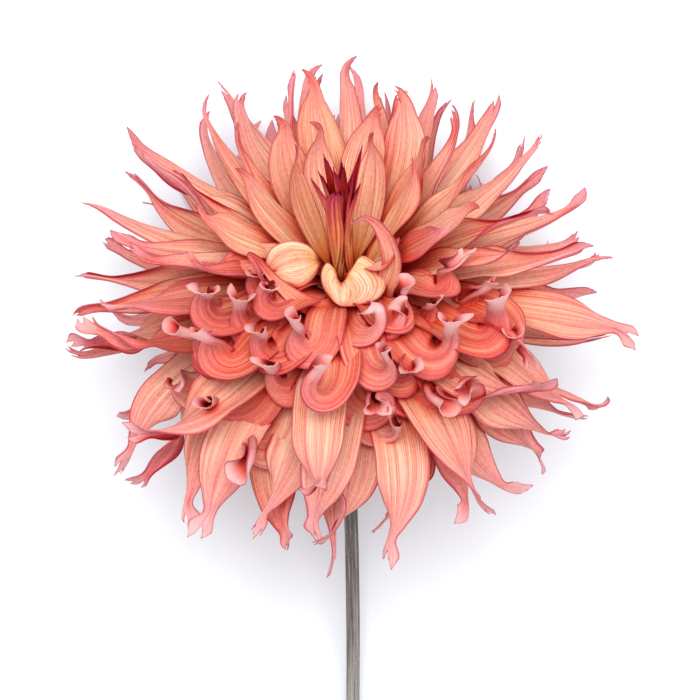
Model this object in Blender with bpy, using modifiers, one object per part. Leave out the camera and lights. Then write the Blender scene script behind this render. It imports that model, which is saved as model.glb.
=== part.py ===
"""A cut dahlia, a large fringed cactus bloom, lying on a flat surface.

The ray florets sit on a domed receptacle in a golden-angle spiral, youngest at the
tip of the dome. The head's axis leans 45 degrees, facing up and away from the stem:
the stem runs down to the surface towards -Y, and the back of the head rests on the
florets that reach the surface. The far side of the head is +Y, the near side -Y.

Metres, +Z up. The origin is on the surface, at the middle of the footprint.
Neighbouring florets are joined in threes by a web between their claws.
"""

import math
from dataclasses import dataclass

import bmesh
import bpy
import numpy as np
from mathutils import Vector

MM = 0.001
TINY = 1e-6

# Head
FLORET_COUNT = 156
GOLDEN_ANGLE = math.radians(137.508)
FIRST_AZIMUTH = math.radians(20)
HEAD_TILT = math.radians(45)
HEAD_HEIGHT = 71 * MM
HEAD_CENTRE = np.array([0.0, 0.0, HEAD_HEIGHT])
AXIS = np.array([0.0, math.sin(HEAD_TILT), math.cos(HEAD_TILT)])
ACROSS = np.array([1.0, 0.0, 0.0])
FAR = np.cross(AXIS, ACROSS)

# Receptacle and the seats of the florets on it: a dome, a shoulder and a neck
SEAT_RADIUS = 13 * MM
LOWEST_SEAT = math.radians(108)
CONTACT_GAP = 0.3 * MM
DOME_RADIUS = SEAT_RADIUS - CONTACT_GAP
DOME_END = math.radians(118)
SHOULDER = (6.5 * MM, -10.5 * MM)
NECK_LENGTH = 14 * MM
NECK_RADIUS = 3.6 * MM
TURN_STEPS = 32

# Florets, by age from 0 at the tip of the dome to 1 at its rim
AGES = [0, 0.06, 0.15, 0.3, 0.5, 0.7, 0.85, 1]
FAR_SPREAD = [3, 13, 31, 55, 81, 106, 124, 139]
NEAR_SPREAD = [18, 44, 64, 80, 94, 106, 117, 127]
FAR_LENGTH = [46, 54, 70, 86, 97, 102, 104, 98]
NEAR_LENGTH = [34, 42, 58, 78, 94, 102, 104, 98]
FAR_WIDTH = [5, 8, 14, 21, 24, 23, 22, 20]
NEAR_WIDTH = [8, 12, 16, 20, 23, 23, 22, 20]
NEAR_EDGES = (-0.8, 1.1)
LENGTH_SPREAD = 0.08
SWAY = math.radians(13)
TIP_SWAY = math.radians(32)
SEED = 1000

# Floret blade: half widths along it, from claw to tip, as shares of its half width
BLADE_STATIONS = [0, 0.08, 0.2, 0.35, 0.5, 0.62, 0.72, 0.82, 0.9, 0.96, 1]
BLADE_SHARES = [0.10, 0.16, 0.42, 0.82, 1.0, 0.97, 0.82, 0.58, 0.36, 0.2, 0.06]
NARROWEST = 0.6 * MM
PETAL_THICKNESS = 0.7 * MM
MIDLINE_STEPS = 80
BLADE_ROWS = [0, 0.03, 0.2, 0.38, 0.56, 0.76, 1]
CLAW_FOLD = math.radians(60)
BLADE_FOLD = math.radians(28)
FLATTEST_FOLD = 0.02
CLAW_END = 0.35
OPENED_AT = 0.75
INCURVE_FROM = 0.55
INCURVE_BY_SPREAD = ([0, 60, 90, 130, 150], [8, 8, 15, 0, -8])

# Where florets meet the surface they lie flat on it
BEND_HEIGHT = 14 * MM
BEND_POWER = 0.45
FLOOR_LEVEL = 0.33 * MM
LAYER_STEP = 0.22 * MM
PRESS_DEPTH = 0.15 * MM
LOWEST_DIRECTION = 135
LOWEST_BAND = 6

# Florets joined in threes: (first floret, step between the three)
CLUSTER_SIZE = 3
CLUSTER_BLOCKS = [(0, 5), (15, 8), (39, 13), (78, 13), (117, 13)]
FLORET_FINISHES = [(15, "centre_floret"), (39, "inner_floret"), (78, "middle_floret")]
OLDEST_FINISH = "outer_floret"

# Stem: its centre line is one cubic curve, which leaves the neck along the head's axis
STEM_RADIUS = 3 * MM
STEM_POINTS = 22
STEM_END = np.array([3 * MM, -190 * MM, 2.8 * MM])
STEM_LEAVE_SHARE = 0.3
STEM_SETTLE = 0.45 * np.array([-0.02, -1.0, -0.22])

# Bracts
INNER_BRACT_SEAT = math.radians(117)
INNER_BRACT_LENGTH = 11 * MM
INNER_BRACT_DROP = math.radians(24)
INNER_BRACT_LIFT = 0.25
INNER_BRACT_WALL = 0.8 * MM
OUTER_BRACT_COUNT = 5
OUTER_BRACT_SEAT = (8.9 * MM, -8.85 * MM)
OUTER_BRACT_LENGTH = 22 * MM
OUTER_BRACT_WIDTH = 9 * MM
OUTER_BRACT_ROWS = 6
OUTER_BRACT_LEAN = (math.radians(112), math.radians(162))
OUTER_BRACT_TIP = 0.12
FIRST_OUTER_BRACT = math.radians(18)

# Colours: linear red, green, blue, and roughness
FINISHES = {
    "centre_floret": ((0.48, 0.045, 0.05), 0.55),
    "inner_floret": ((0.93, 0.42, 0.21), 0.55),
    "middle_floret": ((0.85, 0.27, 0.17), 0.55),
    "outer_floret": ((0.82, 0.24, 0.18), 0.55),
    "receptacle": ((0.30, 0.36, 0.13), 0.7),
    "inner_bract": ((0.42, 0.45, 0.20), 0.6),
    "outer_bract": ((0.13, 0.20, 0.07), 0.6),
    "stem": ((0.17, 0.14, 0.13), 0.7),
}


@dataclass
class Floret:
    """One ray floret's place on the dome and its driving sizes."""

    index: int
    age: float
    azimuth: float
    seat_angle: float
    spread: float
    length: float
    width: float


def smooth(x, start, end):
    """Ease from 0 at start to 1 at end."""
    t = np.clip((x - start) / (end - start), 0, 1)
    return t * t * (3 - 2 * t)


def by_side(age, near, far_values, near_values):
    """A value by age, blended from the far side's row to the near side's."""
    far_value = np.interp(age, AGES, far_values)
    near_value = np.interp(age, AGES, near_values)
    return far_value + near * (near_value - far_value)


def make_floret(index):
    """Place one floret in the spiral and size it."""
    age = (index + 0.5) / FLORET_COUNT
    azimuth = FIRST_AZIMUTH + index * GOLDEN_ANGLE
    seat_angle = math.acos(1 - age * (1 - math.cos(LOWEST_SEAT)))
    near = smooth(-math.sin(azimuth), *NEAR_EDGES)
    vary = np.random.default_rng(SEED + index)
    length = by_side(age, near, FAR_LENGTH, NEAR_LENGTH) * MM
    length *= 1 + LENGTH_SPREAD * vary.uniform(-1, 1)
    return Floret(
        index=index,
        age=age,
        azimuth=azimuth,
        seat_angle=seat_angle,
        spread=math.radians(by_side(age, near, FAR_SPREAD, NEAR_SPREAD)),
        length=length,
        width=by_side(age, near, FAR_WIDTH, NEAR_WIDTH) * MM,
    )


def unit(vector):
    """The vector at length 1."""
    return vector / np.linalg.norm(vector)


def towards_floor(tangent, normal, share, last_turn, prefer):
    """The turn about the blade's width that leaves only a share of its fall."""
    reach = math.hypot(tangent[2], normal[2])
    if reach < TINY:
        return last_turn
    fall = max(-reach, share * tangent[2])
    middle = math.atan2(normal[2], tangent[2])
    half = math.acos(np.clip(fall / reach, -1, 1))
    turns = [(turn + math.pi) % math.tau - math.pi for turn in (middle + half, middle - half)]
    return min(turns, key=lambda turn: abs(turn - last_turn) - 0.02 * prefer * turn)


def lie_flat(tangent, width_axis, share):
    """The blade's width turned level by a share, square to its tangent."""
    level = np.cross(tangent, [0, 0, 1.0])
    if np.linalg.norm(level) > TINY:
        level = unit(level)
        if level @ width_axis < 0:
            level = -level
        width_axis = (1 - share) * width_axis + share * level
        width_axis = unit(width_axis - tangent * (width_axis @ tangent))
    return width_axis


def floor_level(floret):
    """How high a floret's mid-surface lies where it meets the surface."""
    off_lowest = abs(math.degrees(floret.spread) - LOWEST_DIRECTION)
    return FLOOR_LEVEL + LAYER_STEP * max(0, off_lowest - LOWEST_BAND)


def midline(floret):
    """Points down the middle of a floret, with the blade's width and face axes there.

    The floret leaves the dome square to it, opens to its spread angle, curves in
    again near its tip, and bends to lie along the surface where it meets it. The
    last column is how clear of the surface it is, from 0 to 1.
    """
    vary = np.random.default_rng(SEED + 5 * FLORET_COUNT + floret.index)
    sway = SWAY * vary.uniform(-1, 1)
    tip_sway = TIP_SWAY * vary.uniform(-1, 1)
    outward = math.cos(floret.azimuth) * ACROSS + math.sin(floret.azimuth) * FAR
    around = -math.sin(floret.azimuth) * ACROSS + math.cos(floret.azimuth) * FAR
    seat = math.sin(floret.seat_angle) * outward + math.cos(floret.seat_angle) * AXIS
    spread = math.degrees(floret.spread)
    incurve = math.radians(np.interp(spread, *INCURVE_BY_SPREAD))
    level = floor_level(floret)
    prefer = 1.0 if spread < LOWEST_DIRECTION else -1.0
    point = HEAD_CENTRE + SEAT_RADIUS * seat
    turn = 0.0
    rows = []
    for step in range(MIDLINE_STEPS + 1):
        s = step / MIDLINE_STEPS
        lean = floret.seat_angle + (floret.spread - floret.seat_angle) * smooth(s, 0, OPENED_AT)
        lean -= incurve * smooth(s, INCURVE_FROM, 1)
        side = sway * smooth(s, 0.1, 0.8) + 2 * tip_sway * max(0, s - INCURVE_FROM) ** 1.5
        tangent = math.sin(lean) * outward + math.cos(lean) * AXIS
        tangent = math.cos(side) * tangent + math.sin(side) * around
        width_axis = unit(around - tangent * (around @ tangent))
        face = np.cross(tangent, width_axis)
        clear = np.clip((point[2] - level) / BEND_HEIGHT, 0, 1) ** BEND_POWER
        if tangent[2] < 0 and clear < 1:
            turn = towards_floor(tangent, face, clear, turn, prefer)
            tangent = tangent * math.cos(turn) + face * math.sin(turn)
            width_axis = lie_flat(tangent, width_axis, 1 - clear)
            face = np.cross(tangent, width_axis)
        rows.append((point, width_axis, face, clear))
        point = point + tangent * floret.length / MIDLINE_STEPS
    return [np.array(column) for column in zip(*rows)]


def blade_point(floret, lines, s, side, level):
    """A point of the folded blade, at share s of its length and side from -1 to 1."""
    place = s * MIDLINE_STEPS
    low = min(int(place), MIDLINE_STEPS - 1)
    part = place - low
    point, width_axis, face, clear = (
        column[low] * (1 - part) + column[low + 1] * part for column in lines
    )
    half = max(np.interp(s, BLADE_STATIONS, BLADE_SHARES) * floret.width / 2, NARROWEST)
    fold = CLAW_FOLD * (1 - smooth(s, 0, CLAW_END)) + BLADE_FOLD * smooth(s, 0, CLAW_END)
    fold *= max(clear, FLATTEST_FOLD)
    out = side * half * math.sin(fold) / fold
    up = half * (1 - math.cos(fold)) / fold * abs(side)
    where = point + width_axis * out + face * up
    where[2] = max(where[2], level)
    return where


def add_blade(bm, floret):
    """Add one floret's mid-surface, and return its vertices as rows of three."""
    lines = midline(floret)
    level = floor_level(floret)
    rows = len(BLADE_ROWS)
    grid = bmesh.ops.create_grid(bm, x_segments=2, y_segments=rows - 1, size=1)["verts"]
    table = [[None] * 3 for _ in range(rows)]
    for vertex in grid:
        row = round((vertex.co.y + 1) / 2 * (rows - 1))
        side = round(vertex.co.x)
        table[row][side + 1] = vertex
        vertex.co = Vector(blade_point(floret, lines, BLADE_ROWS[row], side, level))
    return table


def add_web(bm, first, second):
    """Join two florets' claws where their nearest edges face each other."""
    sides = [(a, b) for a in (0, 2) for b in (0, 2)]
    a, b = min(sides, key=lambda pair: (first[0][pair[0]].co - second[0][pair[1]].co).length)
    corners = [first[0][a], first[1][a], second[1][b], second[0][b]]
    bm.faces.new(corners if a == 0 else corners[::-1])


def cluster_indices():
    """The florets that are joined, three by three, from the youngest out."""
    for start, step in CLUSTER_BLOCKS:
        for first in range(start, start + step):
            yield [first + step * place for place in range(CLUSTER_SIZE)]


def finish_for(index):
    """The finish of a floret by its place in the spiral."""
    return next((name for limit, name in FLORET_FINISHES if index < limit), OLDEST_FINISH)


def make_material(name):
    """A plain material with one of the flower's finishes."""
    colour, roughness = FINISHES[name]
    material = bpy.data.materials.new(name)
    material.use_nodes = True
    shader = material.node_tree.nodes["Principled BSDF"]
    shader.inputs["Base Color"].default_value = (*colour, 1)
    shader.inputs["Roughness"].default_value = roughness
    shader.inputs["Metallic"].default_value = 0
    return material


def add_object(name, data, finish, parts, root):
    """Put a sub-part in the flower's collection, under its root."""
    obj = bpy.data.objects.new(name, data)
    data.materials.append(bpy.data.materials[finish])
    parts.objects.link(obj)
    obj.parent = root
    return obj


def thicken(obj, thickness):
    """Give an open surface its thickness, half to each side."""
    solidify = obj.modifiers.new("thickness", "SOLIDIFY")
    solidify.thickness = thickness
    solidify.offset = 0


def press_flat(obj):
    """Flatten what lies against the surface that the flower lies on."""
    mesh = bpy.data.meshes.new_from_object(obj.evaluated_get(bpy.context.evaluated_depsgraph_get()))
    obj.modifiers.clear()
    obj.data = mesh
    for vertex in mesh.vertices:
        if vertex.co.z < PRESS_DEPTH:
            vertex.co.z = 0


def make_cluster(number, indices, parts, root):
    """Three neighbouring florets, joined at their claws."""
    bm = bmesh.new()
    tables = [add_blade(bm, make_floret(index)) for index in indices]
    for first, second in zip(tables, tables[1:]):
        add_web(bm, first, second)
    bmesh.ops.recalc_face_normals(bm, faces=bm.faces)
    mesh = bpy.data.meshes.new("floret_cluster")
    bm.to_mesh(mesh)
    bm.free()
    cluster = add_object(f"floret_cluster_{number:02d}", mesh, finish_for(indices[0]), parts, root)
    thicken(cluster, PETAL_THICKNESS)
    bpy.context.view_layer.update()
    press_flat(cluster)
    cluster.data.shade_smooth()


def turned(name, profile, finish, parts, root):
    """A solid turned about the head's axis from (radius, height) points, top to bottom."""
    mesh = bpy.data.meshes.new(name)
    points = [(radius, 0, height) for radius, height in profile]
    edges = [(i, i + 1) for i in range(len(points) - 1)]
    mesh.from_pydata(points, edges, [])
    obj = add_object(name, mesh, finish, parts, root)
    obj.location = HEAD_CENTRE
    obj.rotation_euler = (-HEAD_TILT, 0, 0)
    screw = obj.modifiers.new("turn", "SCREW")
    screw.steps = TURN_STEPS
    screw.render_steps = TURN_STEPS
    screw.use_merge_vertices = True
    screw.merge_threshold = 0.00001
    return obj


def make_receptacle(parts, root):
    """The dome that carries the florets, narrowing to the stem."""
    angles = np.linspace(0, DOME_END, 9)
    profile = [(DOME_RADIUS * math.sin(angle), DOME_RADIUS * math.cos(angle)) for angle in angles]
    profile += [SHOULDER, (NECK_RADIUS, -NECK_LENGTH), (0, -NECK_LENGTH)]
    turned("receptacle", profile, "receptacle", parts, root)


def make_inner_bracts(parts, root):
    """The close ring of scales under the florets, as one cup."""
    start = (SEAT_RADIUS * math.sin(INNER_BRACT_SEAT), SEAT_RADIUS * math.cos(INNER_BRACT_SEAT))
    inside = []
    for share in np.linspace(0, 1, 4):
        reach = share * INNER_BRACT_LENGTH
        drop = reach * math.tan(INNER_BRACT_DROP * (1 - INNER_BRACT_LIFT * share))
        inside.append((start[0] + reach, start[1] - drop))
    outside = [(radius, height - INNER_BRACT_WALL) for radius, height in inside[::-1]]
    profile = inside + outside + inside[:1]
    turned("inner_bracts", profile, "inner_bract", parts, root)


def make_outer_bract(number, parts, root):
    """One of the five leafy bracts that turn back along the stem."""
    azimuth = FIRST_OUTER_BRACT + math.tau * number / OUTER_BRACT_COUNT
    outward = math.cos(azimuth) * ACROSS + math.sin(azimuth) * FAR
    around = -math.sin(azimuth) * ACROSS + math.cos(azimuth) * FAR
    point = HEAD_CENTRE + outward * OUTER_BRACT_SEAT[0] + AXIS * OUTER_BRACT_SEAT[1]
    stride = OUTER_BRACT_LENGTH / (OUTER_BRACT_ROWS - 1)
    spine = []
    for lean in np.linspace(*OUTER_BRACT_LEAN, OUTER_BRACT_ROWS):
        spine.append(point)
        point = point + stride * (math.sin(lean) * outward + math.cos(lean) * AXIS)
    bm = bmesh.new()
    rows = OUTER_BRACT_ROWS
    for vertex in bmesh.ops.create_grid(bm, x_segments=2, y_segments=rows - 1, size=1)["verts"]:
        row = round((vertex.co.y + 1) / 2 * (rows - 1))
        bulge = math.sin(math.pi * (row + 1) / (rows + 0.5))
        half = OUTER_BRACT_WIDTH / 2 * max(bulge, OUTER_BRACT_TIP)
        vertex.co = Vector(spine[row] + around * round(vertex.co.x) * half)
    mesh = bpy.data.meshes.new("outer_bract")
    bm.to_mesh(mesh)
    bm.free()
    bract = add_object(f"outer_bract_{number + 1}", mesh, "outer_bract", parts, root)
    thicken(bract, PETAL_THICKNESS)


def stem_points():
    """The stem's centre line: out of the neck along the axis, then down to the surface."""
    start = HEAD_CENTRE - AXIS * (NECK_LENGTH + CONTACT_GAP)
    reach = np.linalg.norm(STEM_END - start)
    leave = -AXIS * reach * STEM_LEAVE_SHARE
    settle = STEM_SETTLE * reach
    for share in np.linspace(0, 1, STEM_POINTS):
        a, b, c, d = (1 - share) ** 3, 3 * share * (1 - share) ** 2, 3 * share**2 * (1 - share), share**3
        yield a * start + b * (start + leave) + c * (STEM_END - settle) + d * STEM_END


def make_stem(parts, root):
    """The round stem, cut square, with its end on the surface."""
    curve = bpy.data.curves.new("stem", "CURVE")
    curve.dimensions = "3D"
    curve.bevel_depth = STEM_RADIUS
    curve.bevel_resolution = 3
    curve.use_fill_caps = True
    spline = curve.splines.new("POLY")
    spline.points.add(STEM_POINTS - 1)
    for place, point in zip(spline.points, stem_points()):
        place.co = (*point, 1)
    add_object("stem", curve, "stem", parts, root)


def centre_footprint(parts, root):
    """Move the flower so that the origin is under the middle of its box."""
    bpy.context.view_layer.update()
    depsgraph = bpy.context.evaluated_depsgraph_get()
    corners = []
    for obj in parts.objects:
        if obj is root:
            continue
        evaluated = obj.evaluated_get(depsgraph)
        mesh = evaluated.to_mesh()
        corners += [evaluated.matrix_world @ vertex.co for vertex in mesh.vertices]
        evaluated.to_mesh_clear()
    corners = np.array(corners)
    low, high = corners.min(axis=0), corners.max(axis=0)
    root.location = (-(low[0] + high[0]) / 2, -(low[1] + high[1]) / 2, -low[2])


def main():
    """Build the whole flower."""
    for obj in list(bpy.data.objects):
        bpy.data.objects.remove(obj, do_unlink=True)
    parts = bpy.data.collections.new("dahlia_flower")
    bpy.context.scene.collection.children.link(parts)
    for name in FINISHES:
        make_material(name)
    root = bpy.data.objects.new("flower_root", None)
    parts.objects.link(root)
    make_receptacle(parts, root)
    make_stem(parts, root)
    make_inner_bracts(parts, root)
    for number in range(OUTER_BRACT_COUNT):
        make_outer_bract(number, parts, root)
    for number, indices in enumerate(cluster_indices(), start=1):
        make_cluster(number, indices, parts, root)
    centre_footprint(parts, root)


if __name__ == "__main__":
    main()
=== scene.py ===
"""A large cut dahlia of the fringed kind, lying down with its face turned up.

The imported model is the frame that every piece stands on. One hundred and fifty-six ray florets
sit in a golden-angle spiral on a domed receptacle, over a ring of thin inner scales and five
leafy outer bracts, on a ribbed stem. Lengths are metres and angles are radians, except where a
name or a comment says otherwise.
"""

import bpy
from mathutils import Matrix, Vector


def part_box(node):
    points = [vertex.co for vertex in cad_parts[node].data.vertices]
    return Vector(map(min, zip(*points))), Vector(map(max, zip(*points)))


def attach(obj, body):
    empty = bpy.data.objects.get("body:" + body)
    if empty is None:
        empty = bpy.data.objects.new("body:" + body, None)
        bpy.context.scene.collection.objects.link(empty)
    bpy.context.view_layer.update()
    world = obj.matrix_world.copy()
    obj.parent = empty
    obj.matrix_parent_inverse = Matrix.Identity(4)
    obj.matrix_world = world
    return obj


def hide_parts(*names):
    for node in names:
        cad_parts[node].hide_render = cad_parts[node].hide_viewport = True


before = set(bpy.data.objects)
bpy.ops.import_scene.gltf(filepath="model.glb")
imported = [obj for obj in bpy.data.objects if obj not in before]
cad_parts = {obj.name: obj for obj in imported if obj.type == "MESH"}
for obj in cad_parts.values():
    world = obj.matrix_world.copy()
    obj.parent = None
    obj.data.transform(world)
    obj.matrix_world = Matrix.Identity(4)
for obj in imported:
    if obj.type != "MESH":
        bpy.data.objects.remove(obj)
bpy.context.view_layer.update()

import logging
import math
from collections.abc import Callable, Iterable
from dataclasses import dataclass, replace
from enum import Enum
from functools import partial
from typing import Any

import bpy
import numpy as np
from mathutils import Vector

LOG = logging.getLogger("dahlia")
MM = 0.001
DEGREE = math.radians(1)
FULL_TURN = math.tau
GOLDEN_ANGLE = math.radians(137.508)
BODY = "root"
UV_NAME = "sheet"

Point = tuple[float, float, float]
Range = tuple[float, float]
Table = tuple[tuple[float, ...], ...]
Stops = tuple[tuple[float, str], ...]
Socket = bpy.types.NodeSocket
AddNode = Callable[..., Any]


# Small helpers --------------------------------------------------------------------------------


def smooth(x: Any, start: float, end: float) -> Any:
    """Ease from 0 at start to 1 at end."""
    t = np.clip((x - start) / (end - start), 0, 1)
    return t * t * (3 - 2 * t)


def unit(vectors: np.ndarray) -> np.ndarray:
    """The vectors along the last axis, at length 1."""
    return vectors / np.maximum(np.linalg.norm(vectors, axis=-1, keepdims=True), 1e-12)


def soft_interp(x: np.ndarray, stations: Iterable[float], values: Iterable[float]) -> np.ndarray:
    """Interpolate through stations on a curve that never overshoots them.

    Args:
        x: Where to read the curve.
        stations: The stations' places, in rising order.
        values: The value at each station.

    Returns:
        The values at x.
    """
    xs, ys = np.array(stations, float), np.array(values, float)
    slopes = np.diff(ys) / np.diff(xs)
    same = slopes[:-1] * slopes[1:] > 0
    inner = np.where(same, 2 * slopes[:-1] * slopes[1:] / np.where(same, slopes[:-1] + slopes[1:], 1), 0)
    ends = np.concatenate([[slopes[0]], inner, [slopes[-1]]])
    low = np.clip(np.searchsorted(xs, x) - 1, 0, len(xs) - 2)
    width = xs[low + 1] - xs[low]
    t = (x - xs[low]) / width
    return (
        (1 + 2 * t) * (1 - t) ** 2 * ys[low] + t * (1 - t) ** 2 * width * ends[low]
        + t * t * (3 - 2 * t) * ys[low + 1] + t * t * (t - 1) * width * ends[low + 1]
    )


def curve_through(knots: np.ndarray, shares: np.ndarray, steps: int = 40) -> np.ndarray:
    """Read a smooth curve through knots.

    Args:
        knots: The points that it runs through.
        shares: Where to read it, as shares of its length.
        steps: Steps between two knots.

    Returns:
        One point for each share.
    """
    ends = np.concatenate([[2 * knots[0] - knots[1]], knots, [2 * knots[-1] - knots[-2]]])
    t = np.linspace(0, 1, steps, endpoint=False)[:, None]
    parts = [
        0.5 * (
            2 * start + (end - before) * t + (2 * before - 5 * start + 4 * end - after) * t**2
            + (3 * start - before - 3 * end + after) * t**3
        )
        for before, start, end, after in zip(ends, ends[1:], ends[2:], ends[3:])
    ]
    path = np.concatenate([*parts, knots[-1:]])
    run = path_length(path)
    return np.stack([np.interp(shares, run / run[-1], path[:, k]) for k in range(3)], -1)


def path_length(path: np.ndarray) -> np.ndarray:
    """The length of a path up to each of its points."""
    return np.concatenate([[0], np.cumsum(np.linalg.norm(np.diff(path, axis=0), axis=1))])


def thick_sheet(
    name: str, place: np.ndarray, half: np.ndarray | float, across: np.ndarray, along: np.ndarray
) -> bpy.types.Mesh:
    """Thicken a grid of points into one closed skin.

    Args:
        name: The mesh's name.
        place: The sheet's middle, rows by columns by 3.
        half: From the middle to each face, along the sheet's normal.
        across: The texture coordinate across, rows by columns.
        along: The texture coordinate along.

    Returns:
        The mesh, with the inner face's points first and then the outer face's.
    """
    lowest, sharpest = 0.02 * MM, math.radians(62)
    offset = unit(np.cross(np.gradient(place, axis=0), np.gradient(place, axis=1))) * half
    vertices = np.concatenate([(place + offset).reshape(-1, 3), (place - offset).reshape(-1, 3)])
    vertices[:, 2] = np.maximum(vertices[:, 2], lowest)
    rows, columns = place.shape[:2]
    count = rows * columns
    number = np.arange(count).reshape(rows, columns)
    a, b, c, d = number[:-1, :-1], number[:-1, 1:], number[1:, 1:], number[1:, :-1]
    inner = np.stack([a, d, c, b], -1).reshape(-1, 4)
    outer = np.stack([a, b, c, d], -1).reshape(-1, 4) + count
    ring = np.concatenate([number[0, :-1], number[:-1, -1], number[-1, :0:-1], number[:0:-1, 0]])
    ahead = np.roll(ring, -1)
    rim = np.stack([ring, ahead, ahead + count, ring + count], -1)
    mesh = bpy.data.meshes.new(name)
    mesh.from_pydata(vertices.tolist(), [], np.concatenate([inner, outer, rim]).tolist())
    mesh.shade_smooth()
    mesh.set_sharp_from_angle(angle=sharpest)
    corner = np.array([loop.vertex_index for loop in mesh.loops])
    grids = [np.tile(np.broadcast_to(grid, (rows, columns)).reshape(-1), 2) for grid in (across, along)]
    places = np.stack(grids, -1)[corner].astype(np.float32)
    mesh.uv_layers.new(name=UV_NAME).uv.foreach_set("vector", places.ravel())
    return mesh


def paint(mesh: bpy.types.Mesh, name: str, *values: np.ndarray) -> None:
    """Store three values, and a 1 after them, on each point of a mesh."""
    data = mesh.attributes.new(name, "FLOAT_COLOR", "POINT").data
    data.foreach_set("color", np.stack([*values, np.ones(len(data))], -1).astype(np.float32).ravel())


def add_piece(mesh: bpy.types.Mesh, material: bpy.types.Material, node: str) -> bpy.types.Object:
    """Stand a mesh in the scene as a piece of its own name.

    Args:
        mesh: The piece's mesh.
        material: What it is dressed in.
        node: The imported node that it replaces.

    Returns:
        The piece.
    """
    mesh.materials.append(material)
    piece = bpy.data.objects.new(mesh.name, mesh)
    bpy.context.scene.collection.objects.link(piece)
    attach(piece, BODY)
    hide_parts(node)
    return piece


# Finishes -------------------------------------------------------------------------------------


def linear(hex_colour: str) -> tuple[float, float, float, float]:
    """Turn an sRGB hex colour linear.

    Args:
        hex_colour: The colour as "#rrggbb".

    Returns:
        Linear red, green, blue and alpha.
    """
    shares = [int(hex_colour[i : i + 2], 16) / 255 for i in (1, 3, 5)]
    values = [s / 12.92 if s <= 0.04045 else ((s + 0.055) / 1.055) ** 2.4 for s in shares]
    return (*values, 1.0)


def add_node(
    tree: bpy.types.NodeTree, kind: str, inputs: dict[Any, Any] | None = None,
    stops: Stops = (), **settings: Any,
) -> Any:
    """Add a shader node with its settings and links.

    Args:
        tree: The node tree that takes the node.
        kind: The node's type without its "ShaderNode" prefix.
        inputs: A value or an output socket for each named or numbered input.
        stops: The place and the hex colour of each stop, where the node has a colour ramp.
        **settings: Properties of the node itself.

    Returns:
        Its first output in use, or None for an output node. The others are on the socket's node.
    """
    node = tree.nodes.new("ShaderNode" + kind)
    for name, value in settings.items():
        setattr(node, name, value)
    for name, value in (inputs or {}).items():
        if isinstance(value, Socket):
            tree.links.new(value, node.inputs[name])
        else:
            node.inputs[name].default_value = value
    for number, (place, colour) in enumerate(stops):
        elements = node.color_ramp.elements
        element = elements[number] if number < len(elements) else elements.new(place)
        element.position, element.color = place, linear(colour)
    return next((socket for socket in node.outputs if socket.enabled), None)


@dataclass(frozen=True)
class Finish:
    """What every material of the flower shares: a tree of nodes that ends in one shader.

    Attributes:
        name: The finish's name.
        slot: The material slot that the finish stands for, where it is not the name. Not used.
    """

    name: str
    slot: str = ""

    def surface(self, node: AddNode) -> Socket:
        """Build the nodes of the surface with node(), and return its shader."""
        raise NotImplementedError

    def skin(
        self, node: AddNode, colour: Socket, relief: tuple[Any, ...],
        gloss: tuple[Any, ...], shine: tuple[float, ...], through: float = 0.0,
    ) -> Socket:
        """Build a skin with relief and uneven gloss, which may let light through.

        Args:
            node: Adds a node to the finish's tree.
            colour: Its colour.
            relief: The bump's strength, depth and height.
            gloss: A pattern, its low and high ends, and the roughness at each of them.
            shine: The index of refraction, the strength of the reflection and that of the sheen.
            through: The share of light that comes through.

        Returns:
            The shader.
        """
        bump = node("Bump", dict(zip(("Strength", "Distance", "Height"), relief)))
        skin = node("BsdfPrincipled", {
            "Base Color": colour, "Roughness": node("MapRange", dict(enumerate(gloss))), "Normal": bump,
            **dict(zip(("IOR", "Specular IOR Level", "Sheen Weight"), shine)),
        })
        if not through:
            return skin
        translucency_and_crevice_shade = node("BsdfTranslucent", {"Color": colour, "Normal": bump})
        return node("MixShader", {0: through, 1: skin, 2: translucency_and_crevice_shade})

    def material(self) -> bpy.types.Material:
        """Build the finish.

        Returns:
            Its node material.
        """
        material = bpy.data.materials.new(self.name)
        material.use_nodes = True
        material.node_tree.nodes.clear()
        node = partial(add_node, material.node_tree)
        node("OutputMaterial", {"Surface": self.surface(node)})
        return material


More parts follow.
